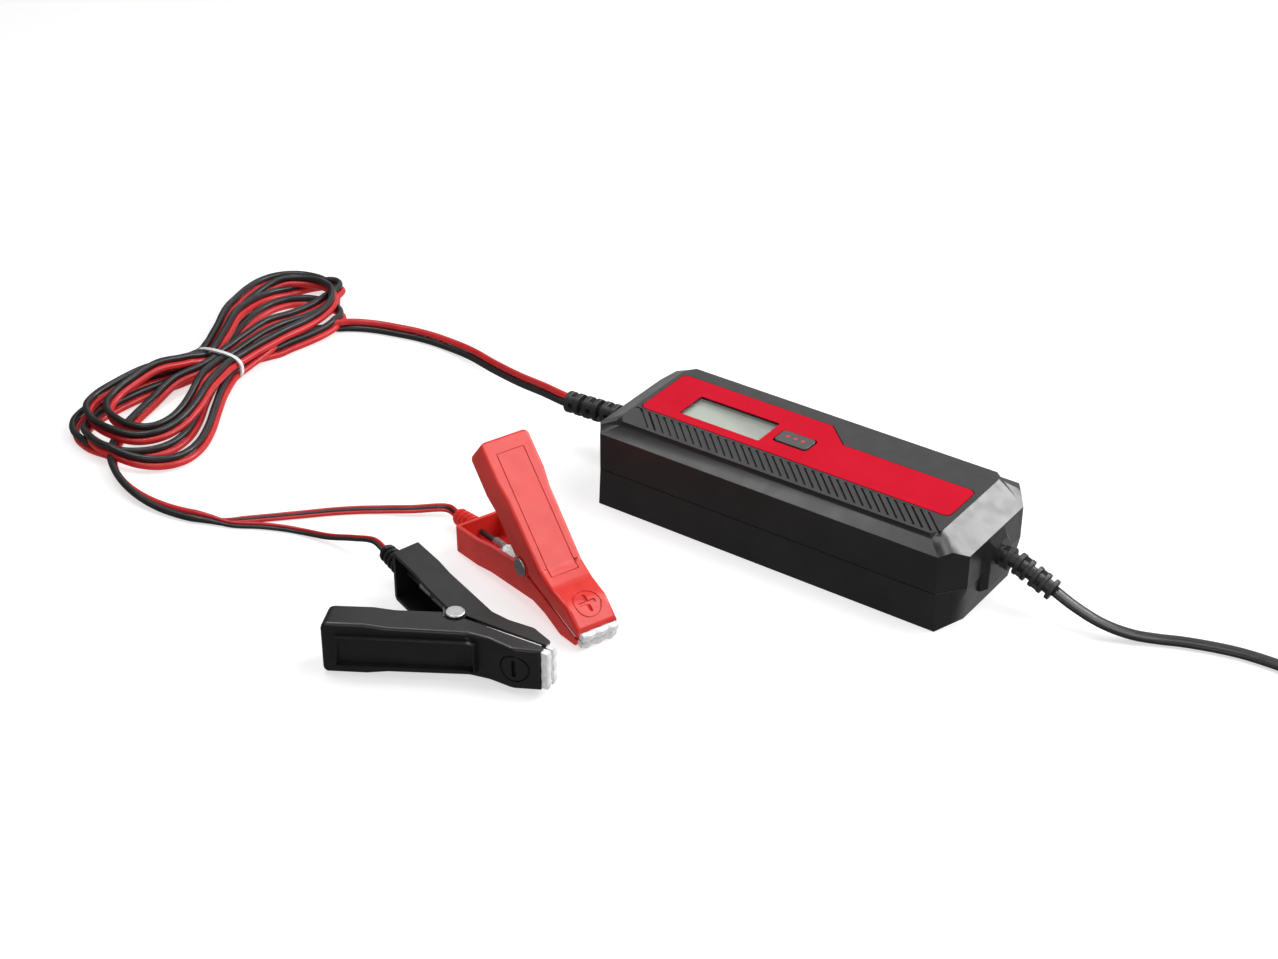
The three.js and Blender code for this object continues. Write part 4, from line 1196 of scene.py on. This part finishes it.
LIGHTS = (
    # name, what it is aimed at in mm, the way to it, distance in m, width and height in m, radiance
    ("bevel_light", (84, 0, 37), (0.36, 0.74, 0.56), 0.95, 0.36, 0.36, 15.0),
    ("plateau_light", (0, 20, 41), (-0.42, 0.74, 0.53), 1.30, 0.90, 0.60, 1.0),
    ("shelf_light", (0, -31, 35), (-0.46, 0.0, 0.89), 0.95, 0.52, 0.30, 7.0),
    ("clamp_light", (-55, -105, 30), (0.61, 0.26, 0.75), 1.00, 0.60, 0.60, 4.0),
    ("corner_light", (81, -28, 38), (0.11, 0.22, 0.97), 0.90, 0.20, 0.20, 9.0),
    ("front_light", (0, -60, 20), (0.25, -0.75, 0.60), 1.40, 0.70, 0.70, 1.8),
)
ROOM_LIGHT = 0.12
BACKDROP_LIGHT = 0.55
# The backdrop fades in between these parts of a direction, towards the back and towards the floor.
BACKDROP_SPANS = (("Y", 0.50, 0.68), ("Z", 0.30, 0.08))


def make_world():
    """A dim even room with a paler backdrop low down behind the object."""
    world = bpy.data.worlds.new("studio")
    world.use_nodes = True
    nodes, links = world.node_tree.nodes, world.node_tree.links
    split = nodes.new("ShaderNodeSeparateXYZ")
    links.new(nodes.new("ShaderNodeTexCoord").outputs["Generated"], split.inputs["Vector"])
    both = nodes.new("ShaderNodeMath")
    both.operation = "MULTIPLY"
    for slot, (axis, start, end) in enumerate(BACKDROP_SPANS):
        share = nodes.new("ShaderNodeMapRange")
        share.inputs["From Min"].default_value = start
        share.inputs["From Max"].default_value = end
        links.new(split.outputs[axis], share.inputs["Value"])
        links.new(share.outputs["Result"], both.inputs[slot])
    strength = nodes.new("ShaderNodeMapRange")
    strength.inputs["To Min"].default_value = ROOM_LIGHT
    strength.inputs["To Max"].default_value = BACKDROP_LIGHT
    links.new(both.outputs["Value"], strength.inputs["Value"])
    links.new(strength.outputs["Result"], nodes["Background"].inputs["Strength"])
    nodes["Background"].inputs["Color"].default_value = (1, 1, 1, 1)
    bpy.context.scene.world = world


def make_lights():
    for name, aim, way, distance, width, height, radiance in LIGHTS:
        data = bpy.data.lights.new(name, "AREA")
        data.shape = "RECTANGLE"
        data.size = width
        data.size_y = height
        data.energy = radiance * math.pi * width * height
        light = bpy.data.objects.new(name, data)
        way = Vector(way).normalized()
        light.location = Vector(aim) * MM + way * distance
        light.rotation_euler = way.to_track_quat("Z", "Y").to_euler()
        bpy.context.collection.objects.link(light)
    make_world()
    bpy.context.scene.view_settings.view_transform = "Standard"


make_floor()
make_lights()
